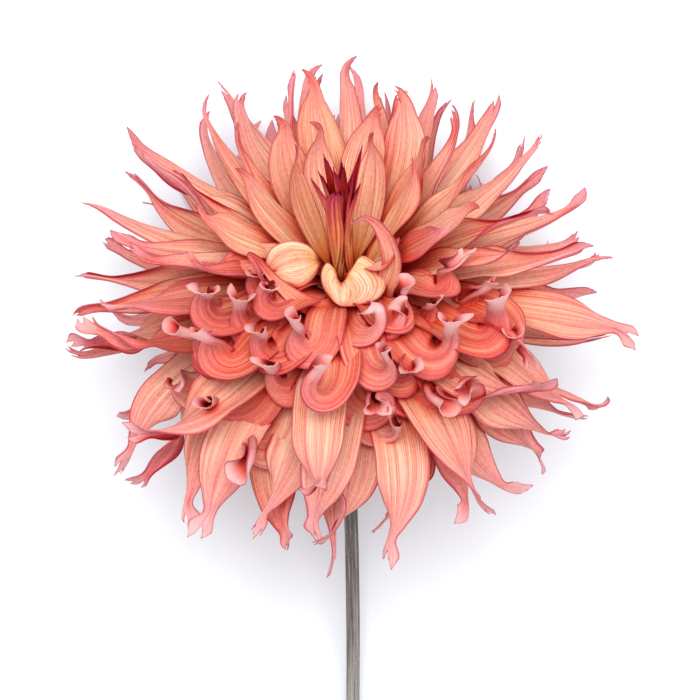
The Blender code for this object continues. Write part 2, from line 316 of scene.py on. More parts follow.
@dataclass(frozen=True)
class PetalTissue(Finish):
    """Living petal skin: a thin translucent sheet of pigment-filled cells over fine parallel veins.

    The eye sees a soft satin face that glows where light comes through, long darker veins and
    pale streaks between them, and a lilac bloom on the tips; the crimson in the rolls, hollows and
    crevices and the dark claws are painted shade.

    Attributes:
        face: Colours of the inner face from claw to tip; its dark first stops are painted shade, where
            the claws lie deep in the head.
        back: Colours of the outer face from claw to tip, with the same painted shade at the claw.
        vein: Colours of the veins from claw to tip.
        rim: The colour of the margin line, and of the painted shade where the sheet rolls away.
        hollow: The colour of the painted shade deep inside the rolled parts.
        painted_crevice_shade: Painted shade: what multiplies the colour, from shut in to open, darker and
            redder
        where petals crowd, standing in for light that has come through petals.
        lip: The pale bloom on the lips of the scrolled tips.
        streak: The pale colour between the veins.
        veins: How many veins cross the whole width.
        vein_strength: How far the veins turn the colour.
        streak_strength: How far the pale streaks turn it.
        flush_strength: How far the broad red streaks turn it.
        tip_bloom: How far the veins and the margin line fade into the pale bloom of the tips.
    """

    face: Stops = ()
    back: Stops = ()
    vein: Stops = ((0.0, "#c2382e"), (0.6, "#c8423e"), (0.9, "#a82c58"))
    rim: str = "#b8344c"
    hollow: str = "#a3123a"
    painted_crevice_shade: Stops = ((0.0, "#c01c28"), (0.3, "#f2604e"), (0.55, "#ffc8ba"), (0.78, "#ffffff"))
    lip: str = "#ffd4d0"
    streak: str = "#ffd2a8"
    veins: float = 24.0
    vein_strength: float = 0.62
    streak_strength: float = 0.45
    flush_strength: float = 0.45
    tip_bloom: float = 1.0

    def surface(self, node: AddNode) -> Socket:
        """Lay streaks, veins, reds and bloom over the ground colour, in that order.

        Args:
            node: Adds a node to the finish's tree.

        Returns:
            The shader.
        """
        across, along = node("SeparateXYZ", {0: node("UVMap", uv_map=UV_NAME)}).node.outputs[:2]
        (rim_mm, roll, inner), (lip, tint, deep) = (
            node("SeparateColor", {0: node("Attribute", attribute_name=name)}).node.outputs[:3]
            for name in ("form", "growth")
        )
        face, back, vein = (
            node("ValToRGB", {0: along}, stops) for stops in (self.face, self.back, self.vein)
        )
        colour = node("Mix", {0: inner, 6: back, 7: face}, data_type="RGBA")
        warmth = node("MapRange", {0: tint, 3: 0.94, 4: 1.06})
        colour = node("HueSaturation", {"Saturation": warmth, "Value": 1.0, "Color": colour})

        # Noise drawn out along the petal, other on each petal: broad streaks, breaks in the veins,
        # and the veins' wander. Each has its stretch, detail and roughness
        unlike = node("Math", {0: tint, 1: 31.0}, operation="MULTIPLY")
        place = node("CombineXYZ", {0: across, 1: along, 2: unlike})
        broad, fine, wander = (
            node("TexNoise", {
                "Vector": node("VectorMath", {0: place, 1: stretch}, operation="MULTIPLY"),
                "Scale": 1.0, "Detail": detail, "Roughness": roughness,
            })
            for stretch, detail, roughness in (
                ((13.0, 1.2, 1.0), 3.0, 0.6), ((34.0, 2.2, 1.0), 1.0, 0.5), ((4.0, 3.0, 1.0), 1.0, 0.5),
            )
        )

        # Pigment lies in soft clouds about 1.5 mm across
        position = node("TexCoord").node.outputs["Object"]
        clouds = node("TexNoise", {"Vector": position, "Scale": 1 / (1.5 * MM), "Detail": 3.0})
        clouds = node("MapRange", {0: clouds, 1: 0.3, 2: 0.7, 3: 0.87, 4: 1.1})
        colour = node("HueSaturation", {"Value": clouds, "Color": colour})

        # Pale streaks that end before the tip, and red ones where the same noise is low
        pale = node("MapRange", {0: broad, 1: 0.47, 2: 0.66, 4: self.streak_strength})
        fading = node("MapRange", {0: along, 1: 0.98, 2: 0.62})
        pale = node("Math", {0: pale, 1: fading}, operation="MULTIPLY")
        flush = node("MapRange", {0: broad, 1: 0.47, 2: 0.3, 4: self.flush_strength})

        # Veins: each keeps its share of the width, so they draw together at both ends
        wander = node("Math", {0: wander, 1: 0.09}, operation="MULTIPLY")
        wave = node("Math", {0: across, 1: wander}, operation="ADD")
        wave = node("Math", {0: wave, 1: FULL_TURN * self.veins}, operation="MULTIPLY")
        veined = node("MapRange", {0: node("Math", {0: wave}, operation="SINE"), 1: 0.05, 2: 0.9})
        broken = node("MapRange", {0: fine, 1: 0.38, 2: 0.62})
        paler = node("MapRange", {0: along, 1: 0.78, 2: 0.94, 3: 1.0, 4: 1 - 0.7 * self.tip_bloom})
        for share in (broken, self.vein_strength, paler):
            veined = node("Math", {0: veined, 1: share}, operation="MULTIPLY")

        # Redder where the sheet rolls away and deep in the rolled hollows, which is painted shade; redder on
        # the margin line, and pale on the lips
        turned = node("MapRange", {0: roll, 1: 0.35, 2: 0.85, 4: 0.2})
        # Painted crimson shade on the face that looks into a tight roll, from the mesh's hollow share
        painted_hollow_shade = node("Math", {0: deep, 1: 0.9}, operation="MULTIPLY")
        lit = node("MapRange", {0: along, 1: 0.84, 2: 0.97})
        for share in (lip, node("MapRange", {0: inner, 3: 0.7, 4: 1.0})):
            lit = node("Math", {0: lit, 1: share}, operation="MULTIPLY")
        edge = node("MapRange", {0: rim_mm, 1: 0.3, 2: 0.05, 4: 0.9})
        edge = node("Math", {0: edge, 1: paler}, operation="MULTIPLY")
        for share, layer in (
            (pale, linear(self.streak)), (flush, vein), (veined, vein), (turned, linear(self.rim)),
            (painted_hollow_shade, linear(self.hollow)), (lit, linear(self.lip)), (edge, linear(self.rim)),
        ):
            colour = node("Mix", {0: share, 6: colour, 7: layer}, data_type="RGBA")

        # Painted shade: where petals crowd, over 10 mm, the colour is multiplied darker and redder, standing
        # in for light that has come through other petals
        openness = node("AmbientOcclusion", {"Distance": 10 * MM}, samples=6).node.outputs["AO"]
        translucency_and_crevice_shade = node("ValToRGB", {0: openness}, self.painted_crevice_shade)
        colour = node("Mix", {0: 1.0, 6: colour, 7: translucency_and_crevice_shade}, data_type="RGBA", blend_type="MULTIPLY")

        # Cells: 0.25 mm grain, a little coarser than life so that it shows
        cells = node("TexNoise", {"Vector": position, "Scale": 1 / (0.25 * MM), "Detail": 2.0})
        relief = node("Math", {0: cells, 1: 0.5}, operation="MULTIPLY")
        relief = node("Math", {0: relief, 1: veined}, operation="SUBTRACT")
        return self.skin(
            node, colour, relief=(0.4, 0.1 * MM, relief), gloss=(cells, 0.3, 0.7, 0.5, 0.66),
            shine=(1.42, 0.14, 0.03), through=0.3,
        )


# In every tissue below, the dark first stops of face and back at the claw are painted shade, where the
# petals' bases lie deep in the head
SPEAR_TISSUE = PetalTissue(
    name="centre_floret",
    face=(
        (0.0, "#a8801c"), (0.12, "#ffb850"), (0.3, "#ffa266"),
        (0.55, "#fa7c64"), (0.8, "#cc3e56"), (1.0, "#96184a"),
    ),
    back=(
        (0.0, "#a8801c"), (0.12, "#ffc05c"), (0.3, "#ffa060"),
        (0.58, "#f87c60"), (0.84, "#d0445a"), (1.0, "#96184a"),
    ),
    vein=((0.0, "#e0502c"), (0.4, "#d83038"), (0.8, "#b01c40"), (1.0, "#80103a")), streak="#ffcc78",
    veins=6.0, vein_strength=0.9, streak_strength=0.8, rim="#a01a3c", tip_bloom=0.0,
)
INNER_TISSUE = PetalTissue(
    name="inner_floret",
    face=(
        (0.0, "#6a5010"), (0.06, "#b8801c"), (0.14, "#ffa850"),
        (0.36, "#ffbc8e"), (0.72, "#ffb096"), (1.0, "#ee8a88"),
    ),
    back=((0.0, "#b0481c"), (0.3, "#f58f5e"), (0.7, "#ee7c74"), (1.0, "#de7288")),
    vein=((0.0, "#b02c1c"), (0.6, "#cc4434"), (1.0, "#b03048")), streak="#ffe2b8", rim="#c04a44",
    vein_strength=0.8, streak_strength=0.62, tip_bloom=0.2,
)
# Painted light: the two short broad petals in front of the throat take a paler copy of the inner tissue,
# which stands in for the light on them
PAINTED_LIGHT_TISSUE = replace(
    INNER_TISSUE, name="painted_light_floret", slot="inner_floret",
    face=((0.0, "#6a5010"), (0.06, "#c08c28"), (0.14, "#ffbc70"), (0.36, "#ffcaa2"), (1.0, "#fab49a")),
    vein=((0.0, "#c84428"), (0.6, "#dc6450"), (1.0, "#d05048")), streak="#fff0d4", flush_strength=0.3,
)
MIDDLE_TISSUE = PetalTissue(
    name="middle_floret",
    face=((0.0, "#8c1a14"), (0.22, "#dc4c32"), (0.42, "#e46849"), (0.7, "#e87066"), (1.0, "#fcb0b4")),
    back=((0.0, "#8c1a14"), (0.25, "#d04438"), (0.66, "#ee7270"), (0.84, "#ffa6a2"), (1.0, "#ffbcba")),
    vein_strength=0.7, streak_strength=0.4,
)
OUTER_TISSUE = PetalTissue(
    name="outer_floret",
    face=((0.0, "#8e1416"), (0.25, "#f67450"), (0.5, "#ffb492"), (0.75, "#fca092"), (1.0, "#eea4ac")),
    back=((0.0, "#8e1416"), (0.3, "#dc5450"), (0.7, "#f08288"), (1.0, "#f4a8b0")),
    vein_strength=0.7, streak="#ffe2c4", streak_strength=0.68, tip_bloom=0.3,
)
TISSUES = {t.name: t for t in (SPEAR_TISSUE, INNER_TISSUE, PAINTED_LIGHT_TISSUE, MIDDLE_TISSUE, OUTER_TISSUE)}


@dataclass(frozen=True)
class BractSkin(Finish):
    """Thin leafy skin with a dull bloom, over parallel veins.

    The eye sees a soft matt green that is paler on its veins and flushed brown at the margin.

    Attributes:
        leaf: Colours from base to tip.
        vein: The colour of the veins.
        rim: The flush at the margin.
        veins: How many veins cross the whole width.
        through: The share of light that comes through.
    """

    leaf: Stops = ()
    vein: str = ""
    rim: str = ""
    veins: float = 9.0
    through: float = 0.15

    def surface(self, node: AddNode) -> Socket:
        """Lay clouds about 1.2 mm across, the veins and the margin over the ground colour.

        Args:
            node: Adds a node to the finish's tree.

        Returns:
            The shader.
        """
        across, along = node("SeparateXYZ", {0: node("UVMap", uv_map=UV_NAME)}).node.outputs[:2]
        colour = node("ValToRGB", {0: along}, self.leaf)
        position = node("TexCoord").node.outputs["Object"]
        clouds = node("TexNoise", {"Vector": position, "Scale": 1 / (1.2 * MM), "Detail": 3.0})
        clouds = node("MapRange", {0: clouds, 1: 0.3, 2: 0.7, 3: 0.78, 4: 1.15})
        colour = node("HueSaturation", {"Value": clouds, "Color": colour})
        wave = node("Math", {0: across, 1: FULL_TURN * self.veins}, operation="MULTIPLY")
        wave = node("Math", {0: wave}, operation="COSINE")
        lines = node("MapRange", {0: wave, 1: 0.6, 2: 1.0, 4: 0.55})
        off_middle = node("Math", {0: across, 1: 0.5}, operation="SUBTRACT")
        off_middle = node("Math", {0: off_middle}, operation="ABSOLUTE")
        edge = node("MapRange", {0: off_middle, 1: 0.4, 2: 0.5, 4: 0.7})
        for share, layer in ((lines, self.vein), (edge, self.rim)):
            colour = node("Mix", {0: share, 6: colour, 7: linear(layer)}, data_type="RGBA")
        relief = node("Math", {0: lines, 1: clouds}, operation="ADD")
        return self.skin(
            node, colour, relief=(0.5, 0.15 * MM, relief), gloss=(clouds, 0.78, 1.15, 0.62, 0.48),
            shine=(1.43, 0.35, 0.08), through=self.through,
        )


@dataclass(frozen=True)
class StemSkin(Finish):
    """The ridged skin of a cut stem, gone grey-brown, with green left under it near the head.

    The eye sees fine dark and pale streaks that run with the stem, small dashes where it
    breathes, a dull satin gloss, and moist pale pith at the cut.

    Attributes:
        ground: Colours from the head to the cut end; the paler colours towards the cut end are painted light.
        dark: The dark streaks.
        light: The pale streaks.
        pith: The cut end and the hollow.
    """

    name: str = "stem"
    # Paler from about two thirds of the way down to the cut end: painted light, a fade to white
    ground: Stops = (
        (0.0, "#5f6240"), (0.1, "#5a5844"), (0.3, "#4e4845"), (0.65, "#625c58"), (1.0, "#918e88"),
    )
    dark: str = "#38322f"
    light: str = "#b2ada4"
    pith: str = "#c6c39a"

    def surface(self, node: AddNode) -> Socket:
        """Lay streaks, dashes and the cut's pith over the ground colour.

        Args:
            node: Adds a node to the finish's tree.

        Returns:
            The shader.
        """
        around = node("Attribute", attribute_name="around").node.outputs["Vector"]
        along, cut = node("SeparateColor", {0: node("Attribute", attribute_name="form")}).node.outputs[:2]
        colour = node("ValToRGB", {0: along}, self.ground)

        # The noise is drawn out along the stem: streaks from 0.3 to 1.5 mm wide
        streaks = node("VectorMath", {0: around, 1: (3.2, 3.2, 0.1)}, operation="MULTIPLY")
        streaks = node("TexNoise", {"Vector": streaks, "Scale": 1.0, "Detail": 4.0, "Roughness": 0.65})
        dark = node("MapRange", {0: streaks, 1: 0.5, 2: 0.34, 4: 0.85})
        pale = node("MapRange", {0: streaks, 1: 0.56, 2: 0.72, 4: 0.75})
        dashes = node("VectorMath", {0: around, 1: (4.0, 4.0, 1.1)}, operation="MULTIPLY")
        dashes = node("TexVoronoi", {"Vector": dashes, "Scale": 1.0})
        dashes = node("MapRange", {0: dashes, 1: 0.2, 2: 0.1, 4: 0.7})
        for share, layer in ((dark, self.dark), (pale, self.light), (dashes, self.light), (cut, self.pith)):
            colour = node("Mix", {0: share, 6: colour, 7: linear(layer)}, data_type="RGBA")
        relief = node("Math", {0: streaks, 1: dashes}, operation="ADD")
        return self.skin(
            node, colour, relief=(0.6, 0.2 * MM, relief), gloss=(streaks, 0.3, 0.7, 0.62, 0.45),
            shine=(1.43, 0.35),
        )


@dataclass(frozen=True)
class ReceptaclePith(Finish):
    """The spongy green-white flesh that the florets stand in, pitted where each one sits.

    The eye sees a pale matt dome with small darker pits, rough with chaff.

    Attributes:
        flesh: The flesh between the pits.
        pit: The pits.
        pit_size: The distance between the pits.
    """

    name: str = "receptacle"
    flesh: str = "#a8a468"
    pit: str = "#5c5424"
    pit_size: float = 2.6 * MM

    def surface(self, node: AddNode) -> Socket:
        """Lay the pits and a grain about 0.5 mm across over the flesh.

        Args:
            node: Adds a node to the finish's tree.

        Returns:
            The shader.
        """
        position = node("TexCoord").node.outputs["Object"]
        cells = node("TexVoronoi", {"Vector": position, "Scale": 1 / self.pit_size})
        pits = node("MapRange", {0: cells, 1: 0.42, 2: 0.2})
        grain = node("TexNoise", {"Vector": position, "Scale": 1 / (0.5 * MM), "Detail": 3.0})
        shade = node("MapRange", {0: grain, 1: 0.3, 2: 0.7, 3: 0.8, 4: 1.1})
        colour = node("Mix", {0: pits, 6: linear(self.flesh), 7: linear(self.pit)}, data_type="RGBA")
        colour = node("HueSaturation", {"Value": shade, "Color": colour})
        height = node("Math", {0: grain, 1: pits}, operation="SUBTRACT")
        return self.skin(
            node, colour, relief=(0.7, 0.4 * MM, height), gloss=(grain, 0.3, 0.7, 0.6, 0.78),
            shine=(1.4, 0.3),
        )


@dataclass(frozen=True)
class PalePaper(Finish):
    """Uncoated backdrop paper: the eye sees a plain pale surface with no shine.

    Attributes:
        tone: Its colour.
    """

    name: str = "pale_paper"
    tone: str = "#e2e5eb"

    def surface(self, node: AddNode) -> Socket:
        """The paper's plain shader."""
        return node("BsdfPrincipled", {"Base Color": linear(self.tone), "Roughness": 0.9})


SCALE_SKIN = BractSkin(
    name="inner_bract", leaf=((0.0, "#8f9450"), (0.4, "#b3a868"), (0.8, "#c29a6a"), (1.0, "#b5715a")),
    vein="#7d7a3e", rim="#a9644e", veins=7.0, through=0.3,
)
LEAF_SKIN = BractSkin(
    name="outer_bract", leaf=((0.0, "#6f8a42"), (0.5, "#5f7f3a"), (0.85, "#6a7a38"), (1.0, "#7a5a3a")),
    vein="#93a864", rim="#6e5a34", veins=5.0,
)


# Florets --------------------------------------------------------------------------------------


@dataclass(frozen=True)
class Head:
    """Where the florets sit: the middle of the domed receptacle and the way it faces.

    Attributes:
        centre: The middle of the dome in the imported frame.
        seat_radius: How far out the florets' claws meet the dome.
        sink: How far the claws stand in it.
        tilt: The head's lean from straight up, towards +Y.
    """

    centre: np.ndarray
    seat_radius: float = 13 * MM
    sink: float = 0.2 * MM
    tilt: float = math.radians(45)

    @property
    def axis(self) -> np.ndarray:
        """The way the flower faces."""
        return np.array([0, math.sin(self.tilt), math.cos(self.tilt)])

    @property
    def across(self) -> np.ndarray:
        """Square to the axis, to the right."""
        return np.array([1.0, 0, 0])

    @property
    def far(self) -> np.ndarray:
        """Square to the axis, away from the stem."""
        return np.cross(self.axis, self.across)

    def outward(self, azimuth: Any) -> np.ndarray:
        """Straight out from the axis, at one azimuth or at a grid of them."""
        return np.cos(azimuth)[..., None] * self.across + np.sin(azimuth)[..., None] * self.far

    def around(self, azimuth: float) -> np.ndarray:
        """Round the axis at an azimuth."""
        return self.outward(azimuth + FULL_TURN / 4)

    def at(self, points: Any) -> np.ndarray:
        """One place or more, given in mm from the head's centre."""
        return self.centre + np.array(points) * MM

    def seat(self, azimuth: float, angle: float) -> np.ndarray:
        """Where a claw stands, at an azimuth round the axis and an angle from it."""
        way = math.sin(angle) * self.outward(azimuth) + math.cos(angle) * self.axis
        return self.centre + (self.seat_radius - self.sink) * way

    @classmethod
    def from_frame(cls) -> "Head":
        """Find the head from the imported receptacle, whose widest parts are its dome.

        Returns:
            The head.
        """
        gap = 0.3 * MM
        low, high = (np.array(corner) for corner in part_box("receptacle"))
        radius = cls.seat_radius - gap
        return cls(np.array([(low[0] + high[0]) / 2, high[1] - radius, high[2] - radius]))


class Outline(Enum):
    """Half the flat width of a petal along its length, as (stations, shares of the widest)."""

    SPEAR = ((0, 0.1, 0.25, 0.45, 0.65, 0.8, 0.92, 1), (0.5, 0.7, 0.9, 1, 0.9, 0.62, 0.3, 0.03))
    STRAP = ((0, 0.1, 0.25, 0.45, 0.7, 0.86, 0.94, 1), (0.5, 0.75, 0.92, 1, 0.98, 0.86, 0.5, 0.06))
    TAPER = ((0, 0.12, 0.25, 0.4, 0.55, 0.7, 0.85, 1), (0.2, 0.6, 1, 0.86, 0.56, 0.36, 0.24, 0.05))
    PLUME = (
        (0, 0.06, 0.15, 0.3, 0.45, 0.6, 0.72, 0.8, 0.87, 0.93, 1),
        (0.14, 0.2, 0.46, 0.84, 1, 1, 0.9, 0.66, 0.38, 0.24, 0.2),
    )
    QUILL = (
        (0, 0.06, 0.15, 0.28, 0.4, 0.52, 0.65, 0.77, 0.86, 0.93, 1),
        (0.12, 0.18, 0.42, 0.82, 1, 0.93, 0.74, 0.54, 0.36, 0.26, 0.24),
    )
    BILL = (
        (0, 0.06, 0.15, 0.28, 0.4, 0.54, 0.66, 0.76, 0.84, 0.92, 1),
        (0.12, 0.18, 0.42, 0.84, 1, 0.88, 0.66, 0.42, 0.27, 0.34, 0.3),
    )
    SCROLL = (
        (0, 0.06, 0.16, 0.3, 0.45, 0.6, 0.72, 0.82, 0.9, 1),
        (0.14, 0.2, 0.42, 0.8, 1, 0.98, 0.84, 0.66, 0.6, 0.95),
    )
    PENDANT = (
        (0, 0.06, 0.15, 0.3, 0.45, 0.62, 0.74, 0.82, 0.87, 0.93, 1),
        (0.12, 0.18, 0.42, 0.82, 1, 0.97, 0.74, 0.38, 0.24, 0.44, 0.3),
    )


class TipForm(Enum):
    """How the free end of a petal is cut: (lobes, depth of the notches as a share of length)."""

    POINT = (1, 0.09)
    LIP = (1, 0.03)
    FORK = (2, 0.045)
    CROWN = (3, 0.035)


@dataclass
class Floret:
    """One ray floret: its place in the spiral, and how its sheet opens, rolls and ends.

    The fields from outline to lip, other than those below, are what HabitRanges says, drawn.

    Attributes:
        index: Its number in the spiral, youngest first.
        azimuth: Its direction round the axis.
        near: 1 on the stem's side of the head and 0 on the far side.
        seat_angle: Its seat's angle from the axis.
        spread: The angle from the axis that it opens to.
        incurve: How far its end half leans back towards the axis.
        length: From claw to tip along the sheet.
        width: The widest flat width.
        sway: A slow sideways bend.
        tip_sway: A sideways bend of its end.
        finish: The name of its tissue.
        spine: Points that its midline runs through from its seat, in mm from the head's centre.
        facing: Which way the inner face looks at its start and end, if not towards the axis.
        tip_side: Which side of the tip is the longer.
        rolls: How far its left and its right margin roll.
        lift_from: Where the rise of the tip starts.
        lift_to: Where it is complete.
        twist_from: Where the twist starts.
        ruffle_waves: How many waves the margins have.
        ruffle_phases: Where the waves of each margin start.
        pleat: How deep the pleats along the veins are.
        thickness: The sheet's, away from its margins.
        tint: A share of its own, which sets its shade and its pattern apart.
    """

    index: int
    azimuth: float
    near: float
    seat_angle: float
    spread: float
    incurve: float
    length: float
    width: float
    sway: float
    tip_sway: float
    finish: str
    spine: tuple[Point, ...] = ()
    facing: tuple[Point, Point] | None = None
    outline: Outline = Outline.QUILL
    tip: TipForm = TipForm.POINT
    tip_side: float = 0.0
    cup: float = 0.0
    rolls: Range = (0.0, 0.0)
    roll_from: float = 0.5
    roll_to: float = 0.8
    roll_power: float = 1.6
    flare: float = 0.0
    hook: float = 0.0
    hook_span: Range = (0.75, 1.0)
    side_curl: float = 0.0
    curl_span: Range = (0.34, 0.9)
    lift: float = 0.0
    lift_from: float = 0.6
    lift_to: float = 0.84
    flick: float = 0.0
    beak: float = 0.0
    twist: float = 0.0
    twist_from: float = 0.5
    ruffle: float = 0.0
    ruffle_waves: float = 3.0
    ruffle_phases: Range = (0.0, 0.0)
    pleat: float = 0.15 * MM
    thickness: float = 0.4 * MM
    tint: float = 0.5
    lip: float = 0.0


@dataclass
class FloretSheet:
    """The curved sheet of one floret, worked out on a grid of rows and columns.

    Attributes:
        head: The frame that the floret grows from.
        floret: What to build.
        rows: Grid points along the petal.
        columns: Grid points across it.
        steps: Steps of the midline.
        folds: Steps out from the midline, along which the fold and the roll add up.
        bend_height: How high over the surface a sheet starts to bend along it.
        bend_power: How late the bend comes: lower is later.
        base_level: How high the lowest sheets lie.
        layer_step: How much higher a sheet lies for each degree that it opens off the lowest.
        lowest_direction: The angle from the axis, in degrees, that points straight down.
        lowest_band: How many degrees off that the lowest sheets reach.
        least_clear: What is left of folds and rolls where the sheet lies on the surface.
        claw_end: Where the folded claw has opened into the blade.
        claw_fold: How far the claw is folded up.
        tail: Where the rows start to follow the cut of the tip.
        beak_from: Where the point starts to lie to one side.
        opening: Over what part of the length the petal opens to its spread.
        incurving: Where its end leans back.
        swaying: Where it bends slowly sideways.
        tip_from: Where the end's own sideways bend starts.
        flicking: Where the last of the tip bends.
        flaring: Where the roll opens again.
        ruffling: Where the waves of the margins come in.
        pleating: Where the pleats come in.
        pleats: How many there are from the middle to a margin.
        thinning: Over how wide a margin the sheet thins out.
        least_half: The narrowest half width.
    """

    head: Head
    floret: Floret
    rows: int = 50
    columns: int = 21
    steps: int = 100
    folds: int = 24
    bend_height: float = 14 * MM
    bend_power: float = 0.45
    base_level: float = 0.33 * MM
    layer_step: float = 0.22 * MM
    lowest_direction: float = 135.0
    lowest_band: float = 6.0
    least_clear: float = 0.02
    claw_end: float = 0.35
    claw_fold: float = math.radians(60)
    tail: float = 0.72
    beak_from: float = 0.83
    opening: Range = (0, 0.75)
    incurving: Range = (0.55, 1)
    swaying: Range = (0.1, 0.8)
    tip_from: float = 0.55
    flicking: Range = (0.84, 1)
    flaring: Range = (0.88, 1)
    ruffling: Range = (0.2, 0.55)
    pleating: Range = (0.12, 0.4)
    pleats: float = 3.5
    thinning: float = 2.5 * MM
    least_half: float = 0.35 * MM

    @property
    def level(self) -> float:
        """How high the sheet lies where it meets the surface."""
        off_lowest = abs(math.degrees(self.floret.spread) - self.lowest_direction)
        return self.base_level + self.layer_step * max(0.0, off_lowest - self.lowest_band)

    def turn_to_surface(
        self, tangent: np.ndarray, face: np.ndarray, share: float, last_turn: float, prefer: float
    ) -> float:
        """The turn about the width that leaves only a share of the sheet's fall.

        Args:
            tangent: The way the midline runs.
            face: Square to the sheet.
            share: How much of the fall to keep.
            last_turn: The turn at the step before.
            prefer: 1 to bend up and -1 to bend down where both serve.

        Returns:
            The turn in radians.
        """
        reach = math.hypot(tangent[2], face[2])
        if reach < 1e-6:
            return last_turn
        fall = max(-reach, share * tangent[2])
        middle = math.atan2(face[2], tangent[2])
        half = math.acos(np.clip(fall / reach, -1, 1))
        turns = [(turn + math.pi) % FULL_TURN - math.pi for turn in (middle + half, middle - half)]
        return min(turns, key=lambda turn: abs(turn - last_turn) - 0.02 * prefer * turn)

    def midline(self) -> tuple[np.ndarray, ...]:
        """Walk the floret's midline from its seat, bending it along the surface where it lands.

        Returns:
            Points, width axes, face axes, and how clear of the surface each is, one row a step.
        """
        f, head = self.floret, self.head
        outward, around = head.outward(f.azimuth), head.around(f.azimuth)
        prefer = 1.0 if math.degrees(f.spread) < self.lowest_direction else -1.0
        point = head.seat(f.azimuth, f.seat_angle)
        turn, rows = 0.0, []
        for step in range(self.steps + 1):
            s = step / self.steps
            lean = f.seat_angle + (f.spread - f.seat_angle) * smooth(s, *self.opening)
            lean += f.hook * smooth(s, *f.hook_span) - f.incurve * smooth(s, *self.incurving)
            side = f.sway * smooth(s, *self.swaying) + 2 * f.tip_sway * max(0.0, s - self.tip_from) ** 1.5
            side += f.side_curl * smooth(s, *f.curl_span) + f.flick * smooth(s, *self.flicking)
            ahead = math.sin(lean) * outward + math.cos(lean) * head.axis
            tangent = math.cos(side) * ahead + math.sin(side) * around
            width_axis = math.cos(side) * around - math.sin(side) * ahead
            face = np.cross(tangent, width_axis)
            lift = f.lift * smooth(s, f.lift_from, f.lift_to)
            tangent = math.cos(lift) * tangent + math.sin(lift) * face
            face = np.cross(tangent, width_axis)
            clear = float(np.clip((point[2] - self.level) / self.bend_height, 0, 1) ** self.bend_power)
            if tangent[2] < 0 and clear < 1:
                turn = self.turn_to_surface(tangent, face, clear, turn, prefer)
                tangent = tangent * math.cos(turn) + face * math.sin(turn)
                level_axis = np.cross(tangent, [0, 0, 1.0])
                if np.linalg.norm(level_axis) > 1e-6:
                    level_axis = unit(level_axis) * (1 if level_axis @ width_axis > 0 else -1)
                    width_axis = clear * width_axis + (1 - clear) * level_axis
                    width_axis = unit(width_axis - tangent * (width_axis @ tangent))
                face = np.cross(tangent, width_axis)
            rows.append((point, width_axis, face, clear))
            point = point + tangent * f.length / self.steps
        return tuple(np.array(column) for column in zip(*rows))

    def own_midline(self) -> tuple[np.ndarray, ...]:
        """Run the midline through the floret's own spine.

        Returns:
            What midline() does.
        """
        f, head = self.floret, self.head
        share = np.linspace(0, 1, self.steps + 1)
        points = curve_through(np.vstack([head.seat(f.azimuth, f.seat_angle), head.at(f.spine)]), share)
        tangents = unit(np.gradient(points, axis=0))
        start, end = (np.array(way) for way in f.facing or 2 * (-head.outward(f.azimuth),))
        hint = start * (1 - share[:, None]) + end * share[:, None]
        widths = unit(np.cross(hint, tangents))
        return points, widths, np.cross(tangents, widths), np.ones(self.steps + 1)

    def end_of(self, u: np.ndarray) -> np.ndarray:
        """Cut the sheet's tip.

        Args:
            u: Shares across, from -1 to 1.

        Returns:
            Where the sheet ends at each of them, as a share of the length.
        """
        lobes, depth = self.floret.tip.value
        if lobes == 1:
            return 1 - depth * np.abs(u - 0.3 * self.floret.tip_side) ** 1.3
        place = (u + 1) / 2 * lobes
        lobe = np.clip(np.floor(place), 0, lobes - 1)
        local = 2 * (place - lobe) - 1
        shorter = 0.035 * np.abs(lobe - (lobes - 1) / 2 - self.floret.tip_side)
        return 1 - depth * np.abs(local) ** 0.8 - shorter

    def surface(self) -> dict[str, np.ndarray]:
        """Work out the mid-surface of the sheet.

        Returns:
            Arrays of rows by columns: "place", "along", "across", "turn" (how far the sheet is
            rolled from its own plane), "roll" (how far its margin rolls, up if above 0) and
            "rim" (distance to the nearest edge).
        """
        f, tail = self.floret, self.tail
        t = np.linspace(0, 1, self.rows)[:, None]
        raw = np.linspace(-1, 1, self.columns)
        u = np.sign(raw) * np.abs(raw) ** 0.85
        ends = self.end_of(u)
        s = np.where(t < tail, t, tail + (t - tail) * (ends - tail) / (1 - tail))
        across = np.broadcast_to(u, s.shape)

        # Read the midline between its steps at every grid point
        read = np.clip(s * self.steps, 0, self.steps - 1e-6)
        low = read.astype(int)
        part = (read - low)[..., None]
        midline = self.own_midline() if f.spine else self.midline()
        point, width_axis, face, clear = (
            row[low] * (1 - part) + row[low + 1] * part
            for row in (values.reshape(self.steps + 1, -1) for values in midline)
        )
        clear = clear[..., 0]
        twist = (f.twist * smooth(s, f.twist_from, 1))[..., None]
        width_axis, face = (
            width_axis * np.cos(twist) + face * np.sin(twist),
            face * np.cos(twist) - width_axis * np.sin(twist),
        )
        half = np.maximum(soft_interp(s, *f.outline.value) * f.width / 2, self.least_half)
        bound = np.maximum(clear, self.least_clear)
        claw = smooth(s, 0, self.claw_end)
        fold = (self.claw_fold * (1 - claw) + f.cup * claw) * bound
        grow = smooth(s, f.roll_from, f.roll_to) * (1 - f.flare * smooth(s, *self.flaring)) * bound

        # Add up small steps out from the midline, each turned by the fold and the roll
        reach = np.abs(across)[..., None] * np.linspace(0, 1, self.folds + 1)
        roll = np.where(across < 0, *f.rolls)
        angle = fold[..., None] * reach + (roll * grow)[..., None] * reach ** f.roll_power
        mid_angle = (angle[..., 1:] + angle[..., :-1]) / 2
        step = np.abs(across) * half / self.folds
        out = np.sign(across) * np.cos(mid_angle).sum(-1) * step
        up = np.sin(mid_angle).sum(-1) * step

